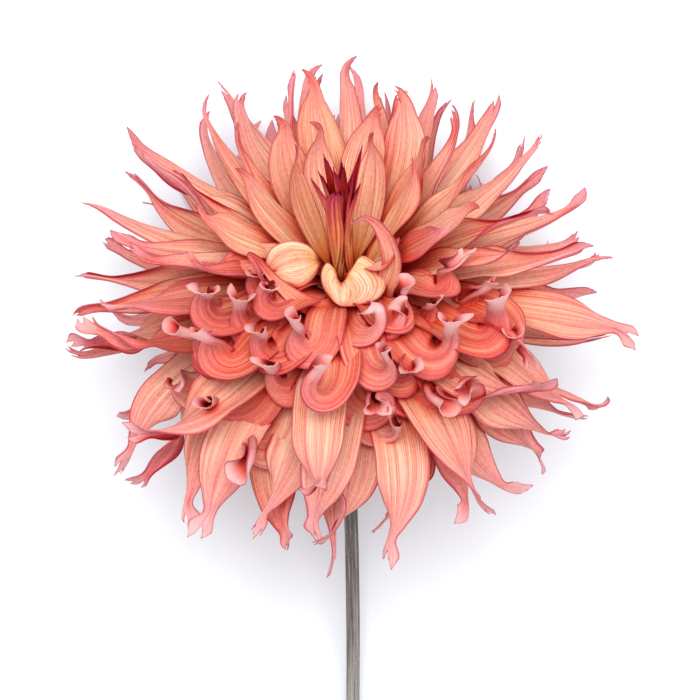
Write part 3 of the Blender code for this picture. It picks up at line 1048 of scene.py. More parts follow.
        # Waves on the margins, pleats along the veins, and a point that lies to one side
        wave = np.sin(f.ruffle_waves * FULL_TURN * s + np.where(across < 0, *f.ruffle_phases))
        up = up + f.ruffle * smooth(s, *self.ruffling) * wave * across**2 * clear
        up = up + f.pleat * smooth(s, *self.pleating) * np.cos(self.pleats * FULL_TURN * across) * clear
        shoulder = soft_interp(np.array([self.beak_from]), *f.outline.value) * f.width / 2
        out = out + f.beak * np.where(s > self.beak_from, shoulder - half, 0.0)
        place = point + out[..., None] * width_axis + up[..., None] * face
        place[..., 2] = np.maximum(place[..., 2], self.level)
        return {
            "place": place, "along": s, "across": across, "turn": np.abs(angle[..., -1]), "roll": roll * grow,
            "rim": np.minimum((1 - np.abs(across)) * half, (ends - s) * f.length),
        }

    def mesh(self, name: str) -> bpy.types.Mesh:
        """Thicken the sheet into a closed skin that tells its finish where it curls.

        Args:
            name: The mesh's name.

        Returns:
            The mesh.
        """
        f, sheet = self.floret, self.surface()
        thin = 0.55 + 0.45 * smooth(sheet["rim"], 0, self.thinning)
        half = f.thickness / 2 * thin[..., None]
        mesh = thick_sheet(name, sheet["place"], half, (sheet["across"] + 1) / 2, sheet["along"])
        rim, turned, curl = (np.tile(sheet[key].reshape(-1), 2) for key in ("rim", "turn", "roll"))
        side = np.repeat([1.0, 0.0], curl.size // 2)
        # The hollow share is painted shade: high on the face that looks into a tight roll of the sheet
        inside = np.where(side > 0.5, curl, -curl)
        hollow = smooth(inside, math.radians(60), math.radians(170)) * smooth(turned / math.pi, 0.25, 0.6)
        paint(mesh, "form", np.clip(rim / (3 * MM), 0, 1), np.clip(turned / math.pi, 0, 1), side)
        paint(mesh, "growth", np.full(side.size, f.lip), np.full(side.size, f.tint), hollow)
        return mesh


@dataclass
class LobedSheet(FloretSheet):
    """A short petal whose claw stands up and opens into a blade of two rounded lobes.

    Attributes:
        mouth: Where the claw opens, in mm from the head's centre.
        left: The blade's left margin from mouth to tip.
        right: Its right margin.
        tip: Where the margins meet.
        rise: How far the blade stands above the mouth.
        fall: How far its margin rolls down.
        throat: The claw's half width.
        claw_share: The claw's share of the rows.
        upright: How much of the claw's height it climbs before it leans to the mouth.
        swelling: Over what distance from the mouth the blade rises.
        waviness: How far its margin waves.
    """

    mouth: Point = (0, 0, 0)
    left: tuple[Point, ...] = ()
    right: tuple[Point, ...] = ()
    tip: Point = (0, 0, 0)
    rise: float = 6 * MM
    fall: float = 2.5 * MM
    throat: float = 1.4 * MM
    claw_share: float = 0.3
    upright: float = 0.3
    swelling: float = 3 * MM
    waviness: float = 0.7 * MM

    def surface(self) -> dict[str, np.ndarray]:
        """Work out the mid-surface.

        Returns:
            What the plain sheet's does.
        """
        mouth, tip = self.head.at((self.mouth, self.tip))
        seat = self.head.seat(self.floret.azimuth, self.floret.seat_angle)
        v = np.linspace(0, 1, self.rows)[:, None]
        u = np.linspace(-1, 1, self.columns)
        q = np.clip((v - self.claw_share) / (1 - self.claw_share), 0, 1)
        middle = mouth + (tip - mouth) * q
        left, right = (
            (curve_through(np.vstack([mouth, self.head.at(side), tip]), q[:, 0]) - middle)[:, None]
            for side in (self.left, self.right)
        )
        half = np.where(u[:, None] < 0, left, right)
        place = middle[:, None] + np.abs(u)[:, None] ** 0.9 * half

        # Round the throat the sheet is part of a narrow ring, which goes on down as the claw
        ahead = tip - mouth
        heading = math.atan2(ahead[1], ahead[0])
        left_turn, right_turn = (
            (math.atan2(side[0][1] - self.mouth[1], side[0][0] - self.mouth[0]) - heading) % FULL_TURN
            for side in (self.left, self.right)
        )
        bearing = (heading + np.where(u < 0, -u * (left_turn - FULL_TURN), u * right_turn))[:, None]
        stand = mouth - np.array([0, 0, (1 - self.upright) * (mouth[2] - seat[2])])
        t = np.clip(v / self.claw_share, 0, 1)
        path = (1 - t) ** 2 * seat + 2 * t * (1 - t) * stand + t**2 * mouth
        way = unit(2 * (1 - t) * (stand - seat) + 2 * t * (mouth - stand))
        side = unit(np.array([1.0, 0, 0]) - way * way[:, :1])
        ring = np.cos(bearing) * side[:, None] + np.sin(bearing) * np.cross(way, side)[:, None]
        ring = ring * self.throat * (1 - q[..., None]) ** 4
        out = np.linalg.norm((place - mouth)[..., :2], axis=-1)
        place = np.where(v[..., None] < self.claw_share, path[:, None], place) + ring

        # The blade swells up from the mouth, and rolls down and waves at its margin
        edge = np.abs(u)
        place[..., 2] += self.rise * (1 - np.exp(-out / self.swelling))
        place[..., 2] -= self.fall * np.maximum(edge**4, q**5) * smooth(q, 0, 0.3)
        wave = np.sin(FULL_TURN * (1.7 * q + 0.3 * u) + self.floret.ruffle_phases[0])
        place[..., 2] += self.waviness * wave * edge**2 * smooth(q, 0.1, 0.4)
        gap = np.minimum((1 - edge) * np.linalg.norm(half, axis=-1), (1 - q) * np.linalg.norm(ahead))
        along = np.where(v < self.claw_share, 0.04 * v / self.claw_share, 0.04 + 0.9 * q)
        flat = np.zeros(place.shape[:2])
        return {
            "place": place, "along": along + flat, "across": u + flat, "turn": flat + 0.1,
            "roll": flat, "rim": gap,
        }


@dataclass(frozen=True)
class HabitRanges:
    """The ranges that a floret of one habit is drawn from, in degrees and millimetres.

    Attributes:
        outline: The flat outline.
        tips: The tip forms that it may have.
        cup: How far the blade folds up along its middle.
        roll: How far one margin rolls: up if above 0, and back if below.
        other_roll: How far the other margin rolls, if not the same.
        roll_from: Where along the length the roll starts.
        roll_to: Where it is complete.
        roll_power: How much of the roll is kept for the margin.
        flare: How far the roll opens again at the tip.
        hook: How far the end bends: out from the axis if above 0, and in if below.
        hook_span: Where the bend starts and ends.
        side_curl: How far the blade sweeps sideways.
        curl_span: Where the sweep starts and ends.
        outward_curl: Whether it sweeps away from the middle of the head, or either way.
        middle_band: How far off the middle a floret can be that sweeps either way, as a share.
        lift: How far the tip rises off the blade's own face.
        flick: How far the last of the tip bends sideways.
        beak: How far the point lies to one side.
        twist: How far the blade turns about its length, either way.
        ruffle: How far the margins wave.
        wider: The flat width beside the floret's driving width.
        longer: The length beside the floret's driving length.
        lip: How far the tip is bleached to its pale bloom.
        climb: How far a floret at the side of the head sweeps up towards its tip.
    """

    outline: Outline
    tips: tuple[TipForm, ...] = (TipForm.POINT,)
    cup: Range = (22, 34)
    roll: Range = (0, 0)
    other_roll: Range | None = None
    roll_from: Range = (0.4, 0.5)
    roll_to: Range = (0.72, 0.85)
    roll_power: float = 1.6
    flare: Range = (0, 0.3)
    hook: Range = (0, 0)
    hook_span: Range = (0.75, 1.0)
    side_curl: Range = (0, 0)
    curl_span: Range = (0.34, 0.9)
    outward_curl: bool = False
    middle_band: float = 0.12
    lift: Range = (0, 0)
    flick: Range = (0, 0)
    beak: Range = (0, 0)
    twist: Range = (0, 0)
    ruffle: Range = (0.2, 0.7)
    wider: Range = (1.0, 1.1)
    longer: Range = (1.0, 1.0)
    lip: float = 0.0
    climb: float = 38.0

    def apply(self, floret: Floret, vary: np.random.Generator) -> Floret:
        """Draw one floret's shape from the ranges.

        Args:
            floret: The floret as placed.
            vary: Where the draws come from.

        Returns:
            The floret with its shape.
        """

        def draw(name: str, measure: float = 1.0) -> float:
            """One value from the named range, in a measure of its own."""
            return measure * float(vary.uniform(*getattr(self, name)))

        side, curl_side, tip_side, twist_side = (float(vary.choice([-1.0, 1.0])) for _ in range(4))
        level, upright = math.cos(floret.azimuth), math.sin(floret.azimuth)
        if self.outward_curl and abs(level) > self.middle_band:
            curl_side = math.copysign(1.0, level)
        rolls = (draw("roll", DEGREE), draw("other_roll" if self.other_roll else "roll", DEGREE))
        hook = draw("hook", DEGREE)
        tip = self.tips[int(vary.integers(len(self.tips)))]
        tip_side *= float(vary.uniform(0.3, 1.0))
        measures = {
            "cup": DEGREE, "roll_from": 1, "roll_to": 1, "flare": 1, "side_curl": curl_side * DEGREE,
            "lift": DEGREE, "flick": -side * DEGREE, "beak": side, "twist": twist_side * DEGREE, "ruffle": MM,
        }
        drawn = {name: draw(name, measure) for name, measure in measures.items()}
        waves, *phases, tint = (
            float(vary.uniform(*ends)) for ends in ((1.6, 3.4), (0, FULL_TURN), (0, FULL_TURN), (0, 1))
        )

        # The florets of the far half climb most, and those below the middle hardly
        climb = self.climb * DEGREE * level * min(1.0, max(0.0, 0.55 + 0.7 * upright))
        return replace(
            floret, outline=self.outline, tip=tip, tip_side=tip_side,
            rolls=rolls[::-1] if side > 0 else rolls, roll_power=self.roll_power, hook=hook,
            hook_span=self.hook_span, curl_span=self.curl_span, ruffle_waves=waves,
            ruffle_phases=tuple(phases), tint=tint, lip=self.lip,
            tip_sway=floret.tip_sway + climb, sway=floret.sway + 0.3 * climb,
            width=floret.width * draw("wider"), length=floret.length * draw("longer"), **drawn,
        )


class Habit(Enum):
    """How the florets grow in each part of the head."""

    SPEAR = HabitRanges(
        Outline.SPEAR, cup=(72, 88), roll=(0, 25), roll_from=(0.05, 0.1), roll_to=(0.4, 0.5),
        ruffle=(0.05, 0.2),
    )
    PLUME = HabitRanges(
        Outline.PLUME, tips=(TipForm.POINT, TipForm.POINT, TipForm.CROWN), cup=(14, 28), roll=(-90, -20),
        other_roll=(-60, 40), roll_from=(0.3, 0.45), roll_to=(0.75, 0.9), flare=(0.0, 0.2), hook=(-30, 12),
        flick=(25, 75), beak=(0.2, 0.9), twist=(0, 30), ruffle=(0.3, 0.9), wider=(1.15, 1.3),
    )
    QUILL = HabitRanges(
        Outline.QUILL, tips=(TipForm.POINT, TipForm.FORK, TipForm.CROWN), cup=(10, 24), roll=(-215, -130),
        other_roll=(-120, -20), roll_from=(0.3, 0.42), roll_to=(0.66, 0.8), flare=(0.4, 0.9),
        hook=(-40, 25), flick=(10, 70), beak=(0.2, 0.9), twist=(0, 60), ruffle=(0.4, 1.0),
        wider=(0.7, 0.92),
    )
    BILL = HabitRanges(
        Outline.BILL, tips=(TipForm.POINT, TipForm.FORK, TipForm.CROWN, TipForm.CROWN), cup=(24, 44),
        roll=(80, 160), other_roll=(-140, 40), roll_from=(0.36, 0.5), roll_to=(0.66, 0.78),
        flare=(0.3, 0.8), hook=(-45, 20), flick=(15, 60), beak=(0.2, 0.8), twist=(20, 90),
        ruffle=(0.4, 1.0), wider=(0.74, 0.96),
    )
    SCROLL = HabitRanges(
        Outline.SCROLL, tips=(TipForm.LIP, TipForm.FORK), cup=(16, 34), roll=(-250, -170),
        other_roll=(-250, -110), roll_from=(0.58, 0.66), roll_to=(0.76, 0.84), roll_power=1.2,
        flare=(0.2, 0.6), hook=(8, 42), hook_span=(0.18, 0.6), side_curl=(100, 260),
        curl_span=(0.5, 0.9), outward_curl=True, lift=(100, 150), flick=(0, 50), ruffle=(0.8, 2.2),
        wider=(0.7, 1.0), longer=(0.76, 1.0), lip=1.0, climb=0.0,
    )
    PENDANT = HabitRanges(
        Outline.PENDANT, tips=(TipForm.POINT, TipForm.FORK, TipForm.CROWN), cup=(12, 24),
        roll=(-190, -60), other_roll=(-200, 90), roll_from=(0.56, 0.68), roll_to=(0.76, 0.86),
        flare=(0.5, 1.0), hook=(-60, 40), hook_span=(0.6, 1.0), side_curl=(-10, 40), flick=(10, 80),
        beak=(0.0, 0.6), twist=(20, 140), ruffle=(0.5, 1.3), wider=(0.9, 1.1), lip=0.5,
    )


def turned(**degrees: float) -> dict[str, float]:
    """The named angles, from degrees to radians."""
    return {name: math.radians(angle) for name, angle in degrees.items()}


def spear(x: float, y: float, z: float, width: float, **own: Any) -> tuple[Habit, dict[str, Any]]:
    """A floret of the closed bud in the throat.

    Args:
        x: How far right of the head's centre its point is, in mm.
        y: How far from the stem.
        z: How far up.
        width: Its flat width, in mm.
        **own: What else sets it apart.

    Returns:
        Its habit, and what sets it apart from it.
    """
    middle = (0.42 * x, 0.5 * y + 5.5, 0.5 * z + 6)
    length = math.dist((0, 9, 9), (x, y, z)) * MM
    return Habit.SPEAR, {"spine": (middle, (x, y, z)), "length": length, "width": width * MM, **own}


# The florets round the throat, each of its own shape: its habit, and what sets it apart from it
CHARACTERS: dict[int, tuple[Habit, dict[str, Any]]] = {
    0: spear(3.3, 47.8, 50, 9),
    1: spear(-4.2, 49, 52, 9),
    2: spear(-2.8, 40.3, 47, 13, outline=Outline.STRAP, tip=TipForm.CROWN),
    3: spear(0, 49.6, 49, 9),
    4: spear(-12.8, 45.1, 48, 10),
    5: spear(5.8, 43, 47, 9),
    6: spear(-8, 54, 50, 9),
    8: spear(6.6, 57, 52, 6),
    9: spear(-9.8, 47.4, 49, 9),
    11: spear(-1.4, 52, 49, 10),
    10: (Habit.PLUME, {
        **turned(spread=44, azimuth=322, hook=-40, flick=60, twist=50), "length": 44 * MM,
        "width": 17 * MM, "finish": "inner_floret",
    }),
    13: (Habit.PLUME, {"finish": "inner_floret"}),
    14: (Habit.PLUME, {"finish": "inner_floret"}),
    15: (Habit.PLUME, {
        "spine": (
            (13, -2, 25), (16, 5, 34), (18.3, 13, 41), (16.6, 21, 46), (12, 27.5, 49), (7, 30, 50),
            (1.5, 27, 48),
        ),
        "facing": ((-0.3, 0, 1), (-0.4, 0.2, 0.9)), "length": 62 * MM, "width": 9.5 * MM,
        "rolls": (1.1, 0.9), **turned(cup=30, flick=0, twist=0), "finish": "outer_floret",
    }),
    17: (Habit.PLUME, turned(spread=84)),
    20: (Habit.PLUME, {
        "spine": (
            (-3, -2, 28), (-9, -4.5, 35), (-18, -1, 38), (-27, 7, 40), (-33, 14, 43), (-36, 16, 47),
            (-34, 12.5, 50), (-30.5, 6, 49), (-26, -2, 46),
        ),
        "facing": ((0, 0.3, 1), (0.4, 0.2, 1)), "length": 84 * MM, "width": 9.5 * MM, "rolls": (1.2, 0.9),
        "outline": Outline.TAPER, **turned(cup=50, flick=0, twist=0), "finish": "outer_floret",
    }),
    28: (Habit.SCROLL, {
        "spine": (
            (1.5, 0.5, 24), (0.5, -4, 30), (0.5, -9, 38), (4, -13, 44), (8.5, -13.5, 47), (12, -10.5, 49),
            (12, -6, 52), (9.5, -3, 56),
        ),
        "facing": ((0, 0.2, 1), (-0.3, 0.5, 0.8)), "length": 50 * MM, "width": 13 * MM,
        **turned(flick=0, twist=0), "finish": "middle_floret",
    }),
    23: (Habit.SCROLL, {
        "spine": ((6, -2, 27), (11, -8, 38), (17, -9.5, 44), (21, -4.5, 47), (19, -0.5, 52)),
        "facing": ((0, 0.2, 1), (-0.6, 0.9, 0.4)), "length": 50 * MM, "width": 14 * MM,
        **turned(flick=0, twist=0), "finish": "middle_floret",
    }),
    94: (Habit.PENDANT, {"length": 112 * MM}),
}

# The two lobed petals in front of the throat, one like a heart and one like a shell
LOBED: dict[int, dict[str, Any]] = {
    7: {
        "mouth": (-1.4, 7.7, 27), "tip": (-0.8, -3.3, 31), "rise": 7 * MM,
        "left": ((-4.1, 11.5, 28), (-6.8, 13.5, 28), (-9, 9.5, 28), (-8.2, 4, 29), (-4.6, -1.1, 30)),
        "right": (
            (2.5, 11.5, 28), (6, 16, 29), (10.5, 14.5, 29), (14.5, 10.5, 30), (16, 5.5, 30),
            (13, 0, 31), (6.4, -2.8, 31),
        ),
    },
    12: {
        "mouth": (-9, 15.4, 26), "tip": (-28.3, 9.9, 34), "rise": 3 * MM, "fall": 3 * MM,
        "left": ((-14, 20.3, 30), (-21, 22, 34), (-27.7, 19.2, 36), (-30.1, 13.7, 36)),
        "right": ((-11.2, 9.3, 29), (-15.6, 4.9, 32), (-20, 4, 34), (-25.5, 6.6, 35)),
    },
}


@dataclass
class Flowerhead:
    """All the ray florets, in a golden-angle spiral from the middle of the head to its rim.

    The spreads are in degrees, and the lengths and widths in mm.

    Attributes:
        head: The frame that the florets grow from.
        count: How many florets there are.
        first_azimuth: The first one's direction round the axis.
        lowest_seat: The last one's seat, as an angle from the axis.
        seed: What the draws start from.
        ages: Where the six tables below have their values: 0 is the middle and 1 the rim.
        far_spread: The angle from the axis that florets of the far side open to.
        near_spread: The same on the stem's side.
        far_length: The lengths on the far side.
        near_length: The lengths on the stem's side.
        far_width: The widths on the far side.
        near_width: The widths on the stem's side.
        incurves: How far the ends lean back, in degrees, as (spreads, angles).
        near_edges: Between what shares below the middle the far side turns into the near one.
        length_spread: How far lengths differ, as a share.
        curled_from: How near a floret is that needs the finer grid.
        curled_rows: The finer grid's points along the petal.
        sway: How far a floret may bend sideways.
        tip_sway: How far its end may.
        scroll_from: How near the scrolled florets start.
        scroll_ends: The widest spread of a scroll, for one half of the florets and for the other.
        pendant_from: How near, and from what spread, the pendant florets start.
        plumes: How many of the youngest florets are plumes.
        youngest: How many florets have the finish of the bud.
        creamy: How many have the creamy finish on the far side, counted with the bud's.
        creamy_to: How near these reach.
        red: How many have the red finish on the near side, counted with all younger ones.
        red_from: How near these start.
        cluster_blocks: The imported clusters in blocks, as (first floret, the block's step): a
            cluster joins three florets that lie a step apart.
    """

    head: Head
    count: int = 156
    first_azimuth: float = math.radians(20)
    lowest_seat: float = math.radians(108)
    seed: int = 1000
    ages: tuple[float, ...] = (0, 0.06, 0.15, 0.3, 0.5, 0.7, 0.85, 1)
    far_spread: tuple[float, ...] = (3, 13, 31, 55, 81, 106, 124, 139)
    near_spread: tuple[float, ...] = (18, 44, 64, 80, 94, 106, 117, 127)
    far_length: tuple[float, ...] = (46, 54, 70, 86, 97, 102, 104, 98)
    near_length: tuple[float, ...] = (34, 42, 58, 78, 94, 102, 104, 98)
    far_width: tuple[float, ...] = (5, 8, 14, 21, 24, 23, 22, 20)
    near_width: tuple[float, ...] = (8, 12, 16, 20, 23, 23, 22, 20)
    incurves: Table = ((0, 60, 90, 130, 150), (8, 8, 15, 0, -8))
    near_edges: Range = (-0.8, 1.1)
    length_spread: float = 0.08
    curled_from: float = 0.6
    curled_rows: int = 76
    sway: float = math.radians(13)
    tip_sway: float = math.radians(32)
    scroll_from: float = 0.72
    scroll_ends: Range = (98, 112)
    pendant_from: Range = (0.5, 86)
    plumes: int = 34
    youngest: int = 15
    creamy: int = 39
    creamy_to: float = 0.6
    red: int = 96
    red_from: float = 0.62
    cluster_blocks: tuple[tuple[int, int], ...] = ((0, 5), (15, 8), (39, 13), (78, 13), (117, 13))

    def place(self, index: int) -> Floret:
        """Place one floret in the spiral and size it.

        Args:
            index: Its number in the spiral.

        Returns:
            The floret, not yet shaped.
        """
        age = (index + 0.5) / self.count
        azimuth = self.first_azimuth + index * GOLDEN_ANGLE
        near = float(smooth(-math.sin(azimuth), *self.near_edges))
        length_draw = np.random.default_rng(self.seed + index)
        bend = np.random.default_rng(self.seed + 5 * self.count + index)
        spread, length, width = (
            float(np.interp(age, self.ages, far) * (1 - near) + np.interp(age, self.ages, close) * near)
            for far, close in (
                (self.far_spread, self.near_spread), (self.far_length, self.near_length),
                (self.far_width, self.near_width),
            )
        )
        return Floret(
            index=index, azimuth=azimuth, near=near, spread=spread * DEGREE,
            seat_angle=math.acos(1 - age * (1 - math.cos(self.lowest_seat))),
            incurve=float(np.interp(spread, *self.incurves)) * DEGREE,
            length=length * MM * (1 + self.length_spread * length_draw.uniform(-1, 1)), width=width * MM,
            sway=self.sway * bend.uniform(-1, 1), tip_sway=self.tip_sway * bend.uniform(-1, 1),
            finish=self.finish_name(index, near),
        )

    def finish_name(self, index: int, near: float) -> str:
        """Choose the finish of a floret: the creamy ones are on the far side.

        Args:
            index: Its number in the spiral.
            near: How near it is.

        Returns:
            The finish's name.
        """
        if index < self.youngest:
            return "centre_floret"
        if index < self.creamy and near < self.creamy_to:
            return "inner_floret"
        return "middle_floret" if index < self.red and near > self.red_from else "outer_floret"

    def habit_of(self, floret: Floret) -> Habit:
        """Choose a habit by where a floret sits and which way it opens.

        Args:
            floret: The floret as placed.

        Returns:
            Its habit.
        """
        spread = math.degrees(floret.spread)
        first_half = np.random.default_rng(4 * self.seed + floret.index).uniform() < 0.5
        if floret.near > self.scroll_from and spread < self.scroll_ends[0 if first_half else 1]:
            return Habit.SCROLL
        if floret.near > self.pendant_from[0] and spread >= self.pendant_from[1]:
            return Habit.PENDANT
        if floret.index < self.plumes:
            return Habit.PLUME
        return Habit.BILL if first_half else Habit.QUILL

    def shape(self, floret: Floret) -> Floret:
        """Give a floret the roll, tip and bends of its part of the head.

        Args:
            floret: The floret as placed.

        Returns:
            The floret with its shape.
        """
        # The lobed petals take the paler copy of the inner tissue, which is painted light
        if floret.index in LOBED:
            floret = replace(floret, finish=PAINTED_LIGHT_TISSUE.name)
        habit, own = CHARACTERS.get(floret.index, (self.habit_of(floret), {}))
        vary = np.random.default_rng(7 * self.seed + floret.index)
        return replace(habit.value.apply(floret, vary), **own)

    def sheet(self, floret: Floret) -> FloretSheet:
        """Choose how to build a floret.

        Args:
            floret: The floret with its shape.

        Returns:
            Its sheet.
        """
        if floret.index in LOBED:
            return LobedSheet(self.head, floret, **LOBED[floret.index])
        finer = {"rows": self.curled_rows} if floret.near > self.curled_from else {}
        return FloretSheet(self.head, floret, **finer)

    def clusters(self) -> dict[int, str]:
        """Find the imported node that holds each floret.

        Returns:
            The node's name by the floret's number.
        """
        starts = (
            (start, step) for first, step in self.cluster_blocks for start in range(first, first + step)
        )
        return {
            start + k * step: f"floret_cluster_{number:02d}"
            for number, (start, step) in enumerate(starts, 1) for k in range(3)
        }

    def build(self) -> list[bpy.types.Object]:
        """Build, dress and register every floret.

        Returns:
            The pieces.
        """
        materials = {name: tissue.material() for name, tissue in TISSUES.items()}
        nodes, pieces = self.clusters(), []
        for index in range(self.count):
            floret = self.shape(self.place(index))
            mesh = self.sheet(floret).mesh(f"floret_{index + 1:03d}")
            pieces.append(add_piece(mesh, materials[floret.finish], nodes[index]))
        return pieces


# Stem, bracts and receptacle ------------------------------------------------------------------


@dataclass
class Stem:
    """The ridged stem: out of the neck along the axis, then down to the surface, cut hollow.

    Attributes:
        head: The frame that it leaves.
        radius: Its half thickness over the ridges.
        start: How far behind the head's centre it starts.
        end: Its cut end, in mm from the head's centre.
        leave_share: How far it keeps the head's direction, as a share of its reach.
        settle: How it comes down to its end, as shares of its reach.
        swelling: How much thicker it is at the neck, as a share.
        ridges: How many ridges run round it.
        ridge_depth: The ridges' depth as a share of the radius.
        bore: The hollow's half width as a share of the radius.
        bore_depth: How deep the hollow goes.
        rings: Rings of points along it.
        points: Points round each ring.
        seed: What its draws start from.
    """

    head: Head
    radius: float = 3 * MM
    start: float = 14.3 * MM
    end: Point = (3, -190, -68.2)
    leave_share: float = 0.3
    settle: Point = (-0.009, -0.45, -0.099)
    swelling: float = 0.12
    ridges: int = 9
    ridge_depth: float = 0.05
    bore: float = 0.5
    bore_depth: float = 7 * MM
    rings: int = 150
    points: int = 72
    seed: int = 77

    def path(self) -> np.ndarray:
        """Bend the middle of the stem.

        Returns:
            A point for each ring.
        """
        start, end = self.head.centre - self.head.axis * self.start, self.head.at(self.end)
        reach = np.linalg.norm(end - start)
        leave, settle = -self.head.axis * reach * self.leave_share, np.array(self.settle) * reach
        t = np.linspace(0, 1, self.rings)[:, None]
        return (
            (1 - t) ** 3 * start + 3 * t * (1 - t) ** 2 * (start + leave)
            + 3 * t**2 * (1 - t) * (end - settle) + t**3 * end
        )

    def mesh(self) -> bpy.types.Mesh:
        """Build the ridged skin, the cut face and the hollow as one closed mesh.

        Returns:
            The mesh.
        """
        path = self.path()
        way = unit(np.gradient(path, axis=0))
        side = unit(np.array([1.0, 0, 0]) - way * way[:, :1])
        up = np.cross(way, side)
        share = np.linspace(0, 1, self.rings)
        turn = np.arange(self.points) / self.points * FULL_TURN
        phases = np.random.default_rng(self.seed).uniform(0, FULL_TURN, 3)

        # A little thicker at the neck, with ridges that wander as they run down
        thick = 1 - 0.03 * (1 + np.sin(9 * share + phases[0])) / 2
        thick = thick + self.swelling * (1 - smooth(share, 0, 0.05))
        wander = turn + 0.25 * np.sin(5 * share[:, None] + phases[1])
        ridge = 0.7 * np.cos(self.ridges * wander) + 0.3 * np.cos(2 * self.ridges * wander + phases[2])
        radius = self.radius * thick[:, None] * (1 - self.ridge_depth * (1 - ridge) / 2)
        radius[-1] *= 0.97
        spread = np.cos(turn)[:, None] * side[:, None] + np.sin(turn)[:, None] * up[:, None]

        # The hollow's lip, its mouth and its floor, each as (place along the stem, share of the radius)
        wall = [
            path[-1] + way[-1] * along + spread[-1] * self.radius * wide
            for along, wide in (
                (0.1 * MM, self.bore + 0.04), (-0.4 * MM, self.bore), (-self.bore_depth, 0.9 * self.bore),
            )
        ]
        rings = np.concatenate([path[:, None] + spread * radius[..., None], wall])
        vertices = [path[0], *rings.reshape(-1, 3), path[-1] - way[-1] * self.bore_depth]
        count, last = self.points, len(vertices) - 1
        pairs = [(k, (k + 1) % count) for k in range(count)]
        faces = [
            (first + k, first + after, first + count + after, first + count + k)
            for first in range(1, last - count, count) for k, after in pairs
        ]
        for k, after in pairs:
            faces += [(0, 1 + after, 1 + k), (last, last - count + k, last - count + after)]
        mesh = bpy.data.meshes.new("ridged_stem")
        mesh.from_pydata([tuple(vertex) for vertex in vertices], [], faces)
        mesh.shade_smooth()
        mesh.set_sharp_from_angle(angle=math.radians(50))

        def spread_out(values: np.ndarray, end: float) -> np.ndarray:
            """One value a ring for all its points, and one for the whole hollow."""
            return np.concatenate([[0], np.repeat(values, count), np.full(len(wall) * count + 1, end)])

        along = spread_out(share, 1)
        paint(mesh, "form", along, spread_out(0 * share, 1), 0 * along)
        run = path_length(path) / self.radius
        turns = np.concatenate([[0], np.tile(turn, len(rings)), [0]])
        places = np.stack([np.cos(turns), np.sin(turns), spread_out(run, run[-1])], -1)
        around = mesh.attributes.new("around", "FLOAT_VECTOR", "POINT").data
        around.foreach_set("vector", places.astype(np.float32).ravel())
        return mesh

    def build(self) -> list[bpy.types.Object]:
        """Build, dress and register the stem, as a list of one piece."""
        return [add_piece(self.mesh(), StemSkin().material(), "stem")]


